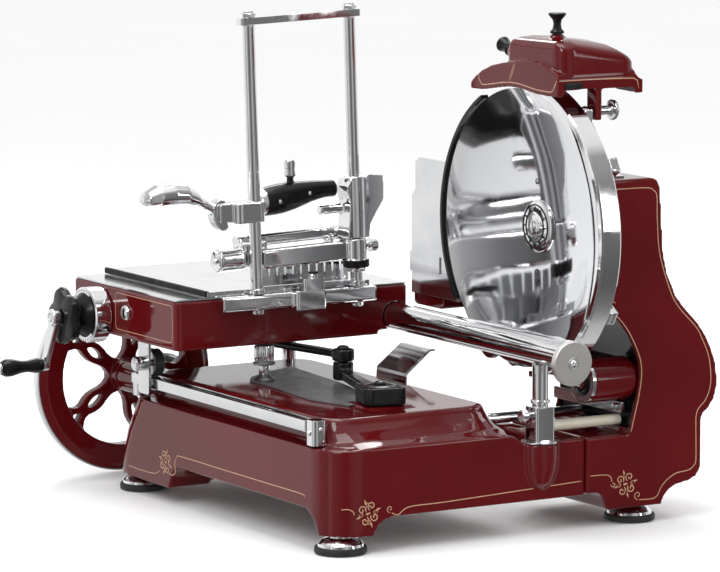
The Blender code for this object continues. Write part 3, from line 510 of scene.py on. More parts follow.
def place(name, me, mats, body, at=None, sharp=32):
    """A piece of the look: mesh in millimetres, its materials, the CAD body it rides on."""
    at = Vector(at if at else (0, 0, 0))
    me.transform(Matrix.Scale(0.001, 4) @ Matrix.Translation(-at))
    me.shade_smooth()
    if sharp:
        me.set_sharp_from_angle(angle=math.radians(sharp))
    mats = [mats] if isinstance(mats, str) else mats
    me.materials.clear()
    for k in mats:
        me.materials.append(MATS[k])
    ob = bpy.data.objects.new(name, me)
    ob.location = (at + Vector(OFF)) / 1000
    bpy.context.scene.collection.objects.link(ob)
    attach(ob, body)
    return ob


def put(name, me, mat, at=None):
    """Shows a finer mesh in place of a CAD node."""
    if name in CAST:
        me = cast(me, CAST[name])
    ob = place(name + "_look", me, mat, BODY[name], at, 0 if name in CAST else 32)
    if name in SPLIT:
        second, test = SPLIT[name]
        ob.data.materials.append(MATS[second])
        o = Vector(OFF) / 1000
        for f in ob.data.polygons:
            if test((f.center + ob.location - o) * 1000, f.normal):
                f.material_index = 1
    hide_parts(name)
    PARTS[name] = ob
    return ob


# ---------------------------------------------------------------- frame: base
def base_body():
    x0, x1, y0, y1 = -24, 222, -24, 500
    rows = [(20, 0, 0, 0, 0, 45), (45, 0, 0, 0, 4, 45), (75, 0, 0, 0, 16, 45), (98, 0, 0, 0, 32, 45), (116, 0, 0, 0, 43, 45),
            (118, 19, 3, 1, 45, 40), (122, 20, 20, 5, 50, 34), (130, 21, 34, 8, 55, 30), (139, 22, 42, 10, 58, 28), (143.5, 23.5, 44, 11, 60, 27), (145, 26, 47, 14, 63, 25)]
    rings = []
    for z, l, n, r, f, rad in rows:
        rings.append([(x, y, z) for x, y in rrect(x0 + l, x1 - r, y0 + n, y1 - f, rad, 5)])
    body = stack(rings)
    arch_x = [(29, 5), (30.5, 20), (32, 25), (36, 31), (43, 36), (54, 39), (240, 39), (240, 5)]
    arch_y = [(9, 5), (11, 20), (16, 31), (23, 41), (34, 47), (328, 47), (336, 43), (344, 34), (350, 20), (352, 5)]
    bx, by = WHEEL_C
    ops = [("+", cyl("Y", WHEEL_C, 20, 420, 555, 20)),
           ("+", prism([(150, 39), (308.6, 39), (308.6, 105), (228.4, 105), (224, 108), (217, 113.5), (208, 116.5), (150, 117)], "Y", -24, 6)),
           ("+", turn("Z", (250, -20), [(6, 52), (15, 60), (19.5, 72), (21, 85), (21, 105)], 20)),
           ("+", rbox(74, 130, 55, 111, 140, 147.5, 6)),
           ("-", prism(arch_x, "Y", -60, 540)), ("-", prism(arch_y, "X", -60, 31.5)),
           ("-", rbox(40, 212, -14, 440, 0, 108, 12)), ("-", rbox(-14, 60, 42, 342, 0, 108, 12)),
           ("-", rbox(12, 196, 38, 390, 100, 137, 10)),
           ("-", cyl("Y", WHEEL_C, 6.5, 380, 570, 16)), ("-", cyl("X", CROSS_C, 6.5, 180, 240, 16)),
           ("-", cyl("Z", ROCK_P, 7.4, 130, 150, 16))]
    return csg(body, ops)


def rear_frame():
    ops = [("+", box(246, 274, 452, 486, 26, 100)), ("+", box(228, 402, 452, 486, 26, 60)),
           ("+", prism(rrect(366, 412, 434, 486, 14, 3), "Z", 20, 60))]
    return csg(rbox(246, 274, 6.4, 575, 92, 112.8, 5, "Y"), ops)


def foot(c):
    return turn("Z", c, [(26, 0), (28.5, 2), (28.5, 6), (26, 7.5), (25, 11), (20, 15.5), (12, 17.5), (12, 19.7), (0, 19.7)], 22)


def tower_shell():
    inner = offset(TOWER, 6)
    # the inside runs out through the notch on the blade side
    i0 = min(range(len(TOWER)), key=lambda i: (TOWER[i][0] - 330) ** 2 + (TOWER[i][1] - 256) ** 2)
    out = inner[:i0] + [(322, 262), (322, 262)][:1] + [(300, 262), (300, 111)] + [(315, 111)]
    out = [p for k, p in enumerate(out) if k == 0 or (p[0] - out[k - 1][0]) ** 2 + (p[1] - out[k - 1][1]) ** 2 > 0.5]
    shell = prism(TOWER, "Y", -28, 130)
    full = csg(shell, [("-", prism(inner, "Y", -22, 126)), ("-", prism([(300, 110.8), (381, 110.8), (392, 150), (396, 172), (392, 198), (379, 230), (354, 257), (300, 262)], "Y", -22, 126)),
                       ("-", cyl("X", BLADE_C, 20.8, 300, 330, 20))])
    return full


def side_cover():
    curve = [(344.6, 256), (357, 243), (369, 226), (380, 205), (386.4, 187), (387.4, 170), (384.5, 149), (379.5, 128), (376.5, 111.3)]
    outer = [(x - 2.6, z) for x, z in curve]
    return csg(prism(curve + outer[::-1], "Y", -21.6, 125.6), [("-", cyl("X", CROSS_C, 8, 300, 420, 16)), ("-", cyl("X", (0, 166), 21.6, 300, 420, 24))])


def blade_guard():
    n = max(14, seg(22))
    a0, a1 = math.radians(84), math.radians(262)
    ring = []
    for i in range(n + 1):
        a = a0 + (a1 - a0) * i / n
        c, s = math.cos(a), math.sin(a)
        ring.append([(x, BLADE_C[0] + r * c, BLADE_C[1] + r * s) for x, r in
                     ((277, 163.5), (277, 169.5), (279, 171), (301, 171), (303, 169.5), (303, 163.5))])
    return stack(ring)


def support_arm():
    y, z = BLADE_C
    arm = cyl("X", BLADE_C, 38, 311.2, 315.4, 24)
    up = [(HOOD_P[0] - 9, HOOD_P[1] + 3), (HOOD_P[0] - 9, HOOD_P[1] - 8), (30, 350), (95, 350), (HOOD_P[0] + 10, HOOD_P[1] - 6), (HOOD_P[0] + 8, HOOD_P[1] + 6)]
    ops = [("+", prism(up[:3] + up[3:], "X", 311.2, 315.4))]
    for deg in (150, 212):
        a = math.radians(deg)
        d, e = np.array([math.cos(a), math.sin(a)]), np.array([-math.sin(a), math.cos(a)])
        c = np.array([y, z])
        quad = [tuple(c + 20 * d - 16 * e), tuple(c + 170 * d - 9 * e), tuple(c + 170 * d + 9 * e), tuple(c + 20 * d + 16 * e)]
        ops.append(("+", prism(quad, "X", 311.2, 315.4)))
        q2 = [tuple(c + 160 * d - 8.5 * e), tuple(c + 169.5 * d - 8.5 * e), tuple(c + 169.5 * d + 8.5 * e), tuple(c + 160 * d + 8.5 * e)]
        ops.append(("+", prism(q2, "X", 303.4, 312)))
    ops += [("+", turn("X", BLADE_C, [(20, 314), (20, 372)], 24)),
            ("+", turn("X", HOOD_P, [(5.5, 303.6), (5.5, 344), (12, 344.5), (12, 349), (5, 350), (5, 354)], 14)),
            ("-", cyl("X", BLADE_C, 9.8, 300, 380, 18))]
    return csg(arm, ops)


def gauge_plate():
    y, z = BLADE_C
    pts = []
    for k in range(9):
        a = math.radians(-38 + 64 * k / 8)
        pts.append((y + 163.5 * math.cos(a), z + 163.5 * math.sin(a)))
    poly = [(300, pts[0][1]), (300, 352), (292, 360), (292, 392), (284, 398), (pts[-1][0] + 6, 398)] + pts[::-1]
    n = max(14, seg(18))
    ring = []
    for k in range(n + 1):
        a = math.radians(-36 + 98 * k / n)
        ring.append([(x, y + r * math.cos(a), z + r * math.sin(a)) for x, r in ((275, 160.6), (275, 164.6), (284, 164.6), (284, 160.6))])
    return csg(prism([(a, b) for a, b in poly], "X", 277.5, 281.5), [("+", rbox(276, 280, 236, 302, 262, 286, 3, "X")), ("+", stack(ring))])


def gauge_bracket():
    return csg(rbox(282, 330, 236, 302, 222, 256, 6, "X"),
               [("+", box(318, 330, 133, 246, 226, 250)), ("+", cyl("Y", (299, 245), 9, 234.0, 237, 14)), ("-", box(317, 331, 120, 134.4, 200, 260)),
                ("+", cyl("Z", (300, 262), 6, 255, 257, 12)),
                ("+", prism(smooth([(134.6, 248), (190, 250), (252, 250), (254, 226), (238, 206), (224, 186), (208, 170), (192, 167), (180, 178), (166, 177), (152, 166), (138, 172)], 2), "X", 319, 329))])


LIP = [(-30, 514.5), (-27, 520), (-12, 525.5), (6, 529.5), (24, 531), (44, 531), (62, 528.5), (86, 525), (108, 520.5), (128, 513.5), (143, 505), (151, 499), (152, 496)]
LIP_UNDER = [(152, 490.5), (125, 491.5), (100, 495), (84, 497.5), (66, 499), (50, 498.7), (32, 496.8), (16, 494.8), (-8, 494), (-30, 494.5)]


def dome(d, drop, z0):
    """The rounded box of the hood: straight walls and a crowned top. d moves it inwards, drop lowers its top."""
    rings = []
    for inset, t in ((0, 0), (0, 0.80), (0.8, 0.89), (2.8, 0.95), (6.5, 0.98), (13, 0.995), (24, 1.0), (40, 1.002)):
        r = max(17 - d - inset * 0.6, 3)
        ring = []
        for x, y in rrect(270 + d + inset, 373 - d - inset, -29.4 + d + inset, 91 - d - inset, r, 5):
            top = float(np.interp(x, [270, 300, 325, 348, 362, 373], [557.5, 558, 555.5, 549, 543, 536.5]) + np.interp(y, [-30, -8, 30, 62, 78, 91], [-6.5, -1, 0.5, -0.5, -4, -12])) - drop
            ring.append((x, y, z0 + (top - z0) * t))
        rings.append(ring)
    return stack(rings)


def hood_shell():
    """A lip that follows the blade, with the rounded box standing on it, hollow from below."""
    inner = [(p[0] if -26.5 < p[0] < 147 else (-26.5 if p[0] < 0 else 147), p[1] - 4) for p in LIP[1:-1]]
    ops = [("-", prism([(374, 512.5), (381, 509.5), (390, 509), (390, 560), (371, 560), (371, 516)], "Y", -50, 40)),
           ("+", dome(0, 0, 507)),
           ("-", prism(inner + [(147, 480), (-26.5, 480)], "X", 268.6, 376.4)), ("-", dome(3.6, 4, 500)),
           ("-", prism([(273, 480), (273, 501), (300, 502), (368, 501.5), (369.6, 496), (369.6, 480)], "Y", -34, -26.2)),
           ("-", prism([(300, 480), (300, 493.6), (390, 493.6), (390, 480)], "Y", -24, 160)),
           ("+", turn("Z", (296, 19), [(10, 555), (10, 557.5), (7, 559.5), (7, 561)], 18)),
           ("+", moved(turn("Z", (0, 0), [(13, -3), (11.5, 5), (9, 9), (8.2, 14), (8.2, 16)], 18), STONE)),
           ("+", box(318, 326, -28.5, -8, 466, 516)), ("-", cyl("X", HOOD_P, 5.8, 300, 340, 16))]
    return csg(prism(LIP + LIP_UNDER, "X", 265, 380), ops)


put("base_body", base_body(), "red_enamel")
put("rear_frame", rear_frame(), "red_enamel")
for _n, _c in (("foot_front_left", (2, 2)), ("foot_rear_left", (4, 462)), ("foot_front_right", (388, 2)), ("foot_rear_right", (389, 460))):
    put(_n, foot(_c), "chrome")
put("tower_housing", tower_shell(), "red_enamel")
put("tower_side_cover", side_cover(), "black_steel")
put("bearing_barrel", turn("X", (0, 166), [(7, 316), (8, 317), (8, 321), (20, 321), (20, 324), (23.5, 324), (25, 325.5), (25, 376.5), (20.5, 377), (20.5, 400)], 24), "red_enamel")
put("guide_bar", csg(rbox(364, 369, -14, 124, 127, 140.4, 2, "X"), [("+", cyl("X", (-6, 134), 4.5, 361.5, 365, 12))]), "polished_steel")
put("tie_rod", cyl("X", (0, 118.5), 6.3, 274.6, 371, 14, 1), "ivory_rod")
put("flat_rail", csg(rbox(-24, -8, 36, 441, 132, 145, 1.5, "Y", 2), [("+", rbox(-24, -6.2, 425, 441, 118.6, 145, 4)), ("-", box(-18, -13, 60, 380, 142.5, 150))]), "polished_steel")
put("rail_block_front", rbox(-24, -6.2, 16, 35.6, 118.6, 147, 6, "Z", 4), "chrome")
put("round_rail", cyl("Y", (TUBE_X, TUBE_Z), TUBE_R, -79, 572, 26, 1.5), "chrome")
put("round_rail_cap", turn("Y", (TUBE_X, TUBE_Z - 7.5), [(24, -87.5), (25, -86.5), (25, -80.5), (24, -79.4)], 26), "brushed_steel", (250, -83, 203))
put("rail_column_front", csg(rbox(237.5, 262.5, -32.5, -7.5, 106.5, 146, 3), [("+", cyl("Z", (250, -20), 21, 105.3, 107, 20)), ("+", cyl("Z", (250, -20), 9, 140, 193.7, 16))]), "chrome")
put("rail_column_rear", csg(cyl("Z", (260, 560), 9, 112, 186, 14), [("-", box(240, 280, 540, 580, 100, 113.1)), ("+", cyl("Z", (260, 560), 13, 113.2, 118, 16)), ("+", rbox(246, 268, 550, 570, 178, 193.4, 3))]), "chrome")
put("clamp_screw", csg(cyl("X", (-20, 137), 7, 224, 232, 12, 1), [("+", cyl("X", (-20, 137), 3.5, 230, 237.1, 10))]), "chrome", (230, -20, 137))
put("deck_plate", csg(prism([(152, 366), (141, 241), (126, 158), (120, 90), (66, 90), (50, 151), (58, 240), (60, 306), (72, 324), (110, 352)], "Z", 145.4, 147.4),
                      [("-", rbox(73.6, 130.4, 54.6, 111.4, 140, 150, 6)),
                       ("+", turn("Z", (77, 302), [(14, 146), (11, 149), (5.5, 153), (5.5, 164), (13, 165), (13, 167.5), (10.5, 168.5), (10.5, 187.5)], 16))]), "grey_steel")
put("deflector", prism([(222.4, 118), (224.4, 118), (226, 150.5), (258, 176), (264, 176), (264, 178), (257.4, 178), (224.2, 152.2)], "Y", 226, 292), "polished_steel")
put("gauge_plate", gauge_plate(), "polished_steel")
put("gauge_bracket", gauge_bracket(), "red_enamel")
put("blade_guard", blade_guard(), "chrome")
put("blade_support_arm", support_arm(), "polished_steel")


def chain():
    """A loop round both sprockets."""
    y, z1, z0 = BLADE_C[0], BLADE_C[1], CROSS_C[1]
    n = max(8, seg(10))

    def loop(ru, rl):
        tilt = math.asin((rl - ru) / (z1 - z0))
        up = [(y + ru * math.cos(a), z1 + ru * math.sin(a)) for a in np.linspace(-tilt, math.pi + tilt, n)]
        lo = [(y + rl * math.cos(a), z0 + rl * math.sin(a)) for a in np.linspace(math.pi + tilt, 2 * math.pi - tilt, n)]
        return up + lo

    a, b = loop(15.6, 30.6), loop(20.0, 35.0)
    rings = [[(CHAIN_X[0] + 1, *p) for p in a], [(CHAIN_X[0] + 1, *p) for p in b], [(CHAIN_X[1] - 1, *p) for p in b], [(CHAIN_X[1] - 1, *p) for p in a]]
    return stack(rings, close=True)


put("drive_chain", chain(), "grey_steel")


# ---------------------------------------------------------------- flywheel train
def flywheel():
    """A rim on five spokes. Each spoke is two strands that cross, with an eye between them and a gap at the rim."""
    c = WHEEL_C
    rim = turn("Y", c, [(85, 568), (107, 568), (113, 572), (116.5, 573), (116.5, 583), (113, 584), (107, 588), (85, 588)], 48, closed=True)
    ops = [("+", turn("Y", c, [(19, 558), (19, 592)], 20))]
    for k in range(5):
        a = math.radians(72 * k)
        d, e = np.array([math.cos(a), math.sin(a)]), np.array([-math.sin(a), math.cos(a)])
        cc = np.array(c)

        def both(prof):
            return [tuple(cc + r * d + w * e) for r, w in prof] + [tuple(cc + r * d - w * e) for r, w in prof[::-1]]

        ops.append(("+", prism(both([(14, 12), (20, 10.5), (27, 8.2), (35, 8.8), (43, 11), (51, 12), (59, 10.8), (66, 8.4), (71, 8.2), (76, 10.8), (81, 16), (86, 25)]), "Y", 571, 585)))
        ops.append(("-", prism(both([(37, 0.6), (42, 3.4), (50, 4.9), (57, 3.4), (62, 0.6)]), "Y", 560, 596)))
        ops.append(("-", prism(both([(73.5, 0.6), (79, 3.4), (84.4, 6.5)]), "Y", 560, 596)))
    ops += [("-", cyl("Y", c, 6.4, 550, 600, 16)), ("+", cyl("Y", GRIP_C, 11, 571, 592.5, 16)), ("+", cyl("Y", GRIP_C, 4.5, 590, 676, 12)),
            ("+", cyl("Y", GRIP_C, 8, 675, 680, 12))]
    return csg(rim, ops)


def bevel(axis, c, apex, d0, d1, bore, teeth=12, phase=0.0):
    """Straight bevel gear on a 45 degree cone with its apex at height apex."""
    rings = []
    for d, tip_side in ((d0, True), (d1, True)):
        m = 2 * d / teeth
        pts = []
        for k in range(teeth):
            base = phase + 2 * math.pi * k / teeth
            for deg, r in ((-6.6, d - 0.6 * m), (-2.8, d + 0.34 * m), (2.8, d + 0.34 * m), (6.6, d - 0.6 * m)):
                a = base + math.radians(deg)
                pts.append((c[0] + r * math.cos(a), c[1] + r * math.sin(a)))
        rings.append([to3(p, axis, apex + d) for p in pts])
    n = len(rings[0])

    def hole(h):
        return [to3(p, axis, h) for p in circle(c, bore, n, phase + math.radians(-6.6))]

    return stack([hole(apex + d0), rings[0], rings[1], hole(apex + d1)], close=True)


wx, wz = WHEEL_C
cy_, cz_ = CROSS_C
put("flywheel", flywheel(), "red_enamel", (wx, 575, wz))
put("flywheel_shaft", cyl("Y", WHEEL_C, 6.2, cy_ + 8.4, 594, 16, 0.8), "polished_steel", (wx, 575, wz))
put("bevel_pinion", bevel("Y", WHEEL_C, cy_, 9, 15, 6.35), "grey_steel", (wx, cy_ + 12, wz))
put("flywheel_grip", csg(turn("Y", GRIP_C, [(9, 594), (12, 600), (13.5, 615), (12, 635), (12.5, 655), (14, 668), (11, 674.4)], 18), [("-", cyl("Y", GRIP_C, 4.9, 580, 690, 14))]), "black_plastic", (GRIP_C[0], 635, GRIP_C[1]))
put("cross_shaft", csg(cyl("X", CROSS_C, 6.2, wx + 8.4, 403, 16, 0.8), [("+", cyl("X", CROSS_C, 29.8, CHAIN_X[0], CHAIN_X[1], 32)), ("-", cyl("X", CROSS_C, 40, 403.5, 410, 8))]), "polished_steel", (300, cy_, cz_))
put("bevel_wheel", bevel("X", CROSS_C, wx, 9, 15, 6.35, phase=math.radians(15)), "grey_steel", (wx + 12, cy_, cz_))


def blade():
    front = [(9.6, 305), (32, 305), (85, 298.5), (138, 288), (159.5, 280)]
    back = [(159.3, 280.9), (150, 287), (85, 301.5), (32, 308.2), (9.6, 308.2)]
    return turn("X", BLADE_C, front + back, 60, closed=True)


put("blade", blade(), "blade_steel", (290, *BLADE_C))
put("blade_hub_cap", turn("X", BLADE_C, [(0, 298.6), (12, 298.8), (22, 299.6), (28, 301), (30, 302.5), (30, 304.7), (0, 304.7)], 28), "chrome", (290, *BLADE_C))
put("blade_shaft", csg(cyl("X", BLADE_C, 9.2, 305.2, 401, 18, 0.8), [("+", cyl("X", BLADE_C, 14.9, CHAIN_X[0], CHAIN_X[1], 22))]), "polished_steel", (350, *BLADE_C))


# ---------------------------------------------------------------- carriage
def table_body():
    prof = rrect(-45, 268, 292, 548, 7, 3)
    body = prism(prof, "Z", 190, 247)
    cut = [("-", rbox(-37, 226, 300, 540, 180, 240, 8)), ("-", box(224, 274, 316, 524, 180, 230)),
           ("-", cyl("Y", (TUBE_X, TUBE_Z), TUBE_R + 0.5, 280, 560, 26)),
           ("-", box(226, 280, 280, 560, 180, 194.5)),
           ("+", cyl("Z", LINK_C, 9, 186.2, 241, 14)), ("+", cyl("Z", LINK_C, 5, 171.5, 188, 12)),
           ("-", cyl("X", FEED_C, 8.5, -60, -30, 16))]
    return csg(body, cut)


put("table_body", table_body(), "red_enamel")
put("feed_housing", csg(turn("X", FEED_C, [(31, -68), (33, -66.5), (33, -47), (31, -45.4)], 28), [("+", turn("X", FEED_C, [(13, -83), (19, -77), (26.4, -67), (26.4, -50)], 24)), ("-", cyl("X", FEED_C, 4.9, -90, -30, 16))]), "chrome")
put("roller_bracket", csg(rbox(-30, -27, 387, 413, 125.5, 189.7, 4, "X"),
                          [("+", box(-29, -6, 389, 411, 186.5, 189.7)), ("+", cyl("X", ROLL_C[1:], 4.0, -29, -7, 24)), ("+", cyl("X", ROLL_C[1:], 6.5, -43, -29, 12)),
                           ("+", box(-29, -15, 391, 409, 125.5, 129.5))]), "polished_steel")
put("roller", csg(cyl("X", ROLL_C[1:], ROLL_R, -23, -9.5, 26, 1), [("-", cyl("X", ROLL_C[1:], 4.4, -30, 0, 24))]), "nylon", ROLL_C)


# ---------------------------------------------------------------- feed table and meat holder
def front_bar():
    bar = rbox(8, 214, 274.5, 291.6, 233, 251, 3, "X")
    return csg(bar, [("+", rbox(101, 141, 266, 290, 230, 253, 3)), ("+", cyl("Z", (POST_L, POST_Y), 8, 227.6, 234, 12)), ("+", cyl("Z", (POST_R, POST_Y), 8, 227.6, 234, 12)),
                     ("-", cyl("Z", (128, 276), 6.4, 220, 260, 14))])


put("table_top_plate", rbox(-43, 266, 294, 546, 247.4, 249.4, 3), "polished_steel")
put("meat_plate", rbox(-5, 215, 292.2, 541, 249.8, 256, 2), "polished_steel")
put("front_bar", front_bar(), "chrome")
put("plunger", turn("Z", (128, 276), [(0, 238), (5.9, 238), (5.9, 268), (4.5, 271), (0, 271.6)], 14), "chrome", (128, 276, 250))
put("post_left", moved(cyl("Z", (POST_L, POST_Y), POST_RAD, 254.2, 566, 18, 1), LEANING.copy()), "chrome")
put("post_right", moved(cyl("Z", (POST_R, POST_Y), POST_RAD, 249.8, 566, 18, 1), LEANING.copy()), "chrome")
put("top_bar", moved(csg(rbox(44, 204, 276, 290, 566.4, 574.5, 3), [("+", cyl("Z", (POST_L, POST_Y), 6.5, 573, 582, 10)), ("+", cyl("Z", (POST_R, POST_Y), 6.5, 573, 582, 10))]), LEANING.copy()), "chrome")


def spike_plate():
    pts = [(64, 256.4), (64, 262)]
    n = 12
    for k in range(n):
        x = 64 + 128 * (k + 0.5) / n
        pts += [(x - 4.6, 268), (x - 4.0, 279), (x + 4.0, 279), (x + 4.6, 268)]
    pts += [(192, 262), (192, 256.4)]
    return prism(pts[::-1], "Y", 304, 307)


put("spike_plate", spike_plate(), "polished_steel")
put("feed_screw", cyl("X", FEED_C, 4.6, -112, 150, 14, 0.6), "polished_steel", (-60, *FEED_C))


def lobed(r0, r1, lobes, n, c=FEED_C):
    out = []
    for k in range(n):
        a = 2 * math.pi * k / n
        r = r0 + (r1 - r0) * (0.5 + 0.5 * math.cos(lobes * a)) ** 0.7
        out.append((c[0] + r * math.cos(a), c[1] + r * math.sin(a)))
    return out


def thickness_knob():
    n = max(24, seg(24))
    n += -n % 5
    rings = []
    for x, k in ((-99.5, 0.74), (-97.5, 0.93), (-93, 1.0), (-88, 0.97), (-84.4, 0.80)):
        rings.append([(x, *p) for p in lobed(27.5 * k, 35.5 * k, 5, n)])
    inner = [[(x, *p) for p in circle(FEED_C, 4.95, n)] for x in (-84.4, -99.5)]
    return stack(rings + inner, close=True)


def crank_arm():
    y, z = FEED_C
    e = (505.0, 152.0)
    d = np.array([e[0] - y, e[1] - z])
    d = d / np.linalg.norm(d)
    s = np.array([-d[1], d[0]])
    a, b = np.array([y, z]), np.array(e)
    poly = [tuple(a + 9 * s), tuple(a - 9 * s), tuple(b - 5.5 * s), tuple(b + 5.5 * s)]
    return csg(prism(poly, "X", -109, -103), [("+", cyl("X", FEED_C, 10, -112, -101, 16, 1)), ("+", cyl("X", e, 7.5, -110, -102.5, 14)),
                                               ("+", cyl("X", e, 3.5, -164, -105, 12)), ("+", cyl("X", e, 6, -167, -163.4, 12)),
                                               ("-", cyl("X", FEED_C, 5, -115, -98, 14))])


put("thickness_knob", thickness_knob(), "black_plastic", (-90, *FEED_C))
put("feed_crank_arm", crank_arm(), "chrome", (-105, *FEED_C))
put("feed_crank_grip", turn("X", (505, 152), [(3.9, -163), (8, -163), (10.5, -158), (10.5, -150), (7.5, -138), (7, -130), (9, -118), (8, -111), (3.9, -111)], 16, closed=True), "black_plastic", (-130, 505, 152))


# ---------------------------------------------------------------- press
def press_bar():
    bar = rbox(POST_L + 9, POST_R - 6, 280, 300, 281, 303, 3, "X")
    post = (POST_R, POST_Y)
    return csg(bar, [("+", cyl("Z", post, 13, 278, 306, 22, 1)), ("+", cyl("Z", post, 11, 266.5, 279, 18)), ("+", cyl("Z", post, 14.5, 272, 281, 20)),
                     ("+", cyl("X", (310, 312), 8.5, POST_L - 12, POST_R + 2, 14)), ("+", box(POST_R - 24, POST_R - 6, 292, 316, 290, 305.5)),
                     ("+", cyl("X", (303, 294), 14, POST_L - 42, POST_L - 8, 20, 2)), ("+", rbox(POST_L - 12, POST_L + 22, 292.5, 312, 284, 312, 3)),
                     ("-", cyl("Z", post, 7.9, 250, 320, 20)), ("-", cyl("Z", (POST_L, POST_Y), 7.9, 250, 330, 20))])


def press_bracket():
    post = (POST_R, POST_Y)
    prof = [(176, 306.6), (205, 306.6), (207, 322), (216, 336), (226, 350), (226, 378), (205, 381), (200, 376), (182, 376), (176, 368), (180, 350), (179, 330)]
    return csg(prism(prof, "Y", 273, 300), [("+", cyl("Z", post, 12.5, 306.6, 379, 20)), ("+", cyl("X", (295, 341.5), 6, 150, 184, 12)),
                                            ("-", cyl("Z", post, 7.9, 290, 400, 20))])


def press_handle():
    pts = smooth([(64, 294, 356), (78, 294, 358), (96, 294, 360), (116, 294, 362.5), (136, 294, 365), (156, 294, 366), (172, 294, 365.5)], 2, False)
    body = sweep(pts, [float(np.interp(p[0], [62, 70, 82, 100, 120, 140, 156, 172], [13, 15.5, 17.3, 17.8, 15.5, 12, 10.2, 9.8])) for p in pts], 14)
    return csg(body, [("-", box(170, 190, 270, 320, 330, 390)), ("+", rbox(30, 68, 273, 305, 338, 362, 7)), ("-", cyl("Z", (POST_L, POST_Y), 8.2, 300, 400, 18)),
                      ("+", rbox(12, 34, 305, 309, 340, 362, 3, "Y")), ("+", rbox(12, 34, 283, 287, 340, 362, 3, "Y")), ("+", cyl("Y", (17, 351), 3.9, 284, 308, 14)),
                      ("+", turn("Z", (112, 294), [(4, 370), (4, 384), (7, 385), (7, 391), (6, 393), (7, 395), (7, 403), (5.5, 405)], 14))])


def paddle():
    """The flat thumb lever, swept along its arc with an oval section."""
    rings, n = [], seg(14)
    for x, z, h, w in ((-83, 374.5, 3.5, 7), (-78, 375.5, 8.5, 14), (-64, 377.5, 13.4, 19), (-46, 378, 14.4, 20), (-28, 376, 13.4, 19), (-14, 370.5, 10.5, 14), (-4, 363, 8.2, 9), (6, 357, 7, 8), (14, 353, 6, 7)):
        rings.append([(x, 296 + w * math.cos(2 * math.pi * k / n), z + h * math.sin(2 * math.pi * k / n)) for k in range(n)])
    return stack(rings)


def press_lever():
    body = paddle()
    claw = prism(smooth([(6, 352), (10, 364), (20, 367), (24, 358), (22, 346), (26, 334), (17, 330), (8, 340)], 2), "Y", 288, 304)
    return csg(body, [("+", claw), ("-", cyl("Y", (17, 351), 4.2, 270, 320, 14))])


put("press_bar", moved(press_bar(), LEANING.copy()), "chrome")
put("press_bracket", moved(press_bracket(), LEANING.copy()), "chrome")
put("press_handle", moved(press_handle(), LEANING.copy()), "black_plastic")
put("press_lever", moved(press_lever(), LEANING.copy()), "chrome", tuple(LEANING @ Vector((17, 296, 351))))
put("press_knob", moved(turn("X", (POST_Y, 296), [(0, POST_R + 13.4), (4, POST_R + 13.4), (4, POST_R + 18), (8.5, POST_R + 18.6), (8.5, POST_R + 26), (6.5, POST_R + 28), (0, POST_R + 28)], 16), LEANING.copy()), "chrome", tuple(LEANING @ Vector((POST_R + 20, POST_Y, 296))))

# ---------------------------------------------------------------- hood
put("hood_shell", hood_shell(), "red_enamel", (325, *HOOD_P))
put("hood_knob", turn("Z", (296, 19), [(0, 561.4), (7, 561.4), (8, 562.4), (8, 564), (5.2, 567), (4.3, 572), (5.2, 577), (9.6, 582), (10.4, 583.6), (9.2, 585), (0, 585)], 18), "black_plastic", (296, 19, 570))
put("stone_knob", moved(turn("Z", (0, 0), [(0, 16.4), (7.2, 16.4), (8.4, 18), (8.4, 20), (6, 23), (5.6, 28), (8.4, 33.5), (9, 36), (8, 38), (0, 38)], 18), STONE), "black_plastic", (292, 90, 533))


# ---------------------------------------------------------------- rocker and link
def rocker():
    p, e = np.array(ROCK_P), np.array(ROCK_E)
    d = (e - p) / np.linalg.norm(e - p)
    s = np.array([-d[1], d[0]])
    poly = [tuple(p + 10 * d + 10 * s), tuple(p + 10 * d - 10 * s), tuple(e - 6.5 * s), tuple(e + 6.5 * s)]
    hub = prism([tuple(p + a * d + b * s) for a, b in ((-28, -16), (-20, -25), (16, -25), (26, -14), (26, 14), (16, 25), (-20, 25), (-28, 16))], "Z", 148.2, 168)
    return csg(hub, [("+", prism(poly, "Z", 152, 163)), ("+", cyl("Z", ROCK_E, 12, 150, 171, 20, 1)), ("+", cyl("Z", ROCK_P, 17, 160, 169, 20, 1)),
                     ("+", cyl("Z", ROCK_P, 7.1, 131, 150, 16))])


def link():
    c, e = np.array(LINK_C), np.array(ROCK_E)
    d = (e - c) / np.linalg.norm(e - c)
    s = np.array([-d[1], d[0]])
    poly = [tuple(c + 8 * s), tuple(c - 8 * s), tuple(e - 8 * s), tuple(e + 8 * s)]
    return csg(prism(poly, "Z", 175.5, 183), [("+", cyl("Z", LINK_C, 11, 174.5, 185.6, 18)), ("+", cyl("Z", ROCK_E, 13, 172.2, 186, 20, 1)), ("-", cyl("Z", LINK_C, 5.5, 160, 190, 12))])


put("rocker_arm", rocker(), "black_steel", (*ROCK_P, 158))
put("link_arm", link(), "black_steel", (*LINK_C, 180))

# ---------------------------------------------------------------- small pieces that ride along
def strip(path, width, axis, h, thick=0.35, closed=False):
    """A thin raised line of paint along a path in a plane. The pen narrows to a point at an open end."""
    P = [np.array(p, float) for p in path]
    n = len(P)
    left, right = [], []
    for i in range(n):
        a = P[(i - 1) % n] if closed or i else P[0]
        b = P[(i + 1) % n] if closed or i < n - 1 else P[-1]
        t = b - a
        t = t / max(np.linalg.norm(t), 1e-6)
        w = width if closed or 0 < i < n - 1 else width * 0.4
        s = np.array([-t[1], t[0]]) * w / 2
        left.append(tuple(P[i] + s))
        right.append(tuple(P[i] - s))
    lo, hi = min(h, h + thick), max(h, h + thick)
    rings = [[to3(l, axis, lo), to3(r, axis, lo), to3(r, axis, hi), to3(l, axis, hi)] for l, r in zip(left, right)]
    return stack(rings, close=closed)


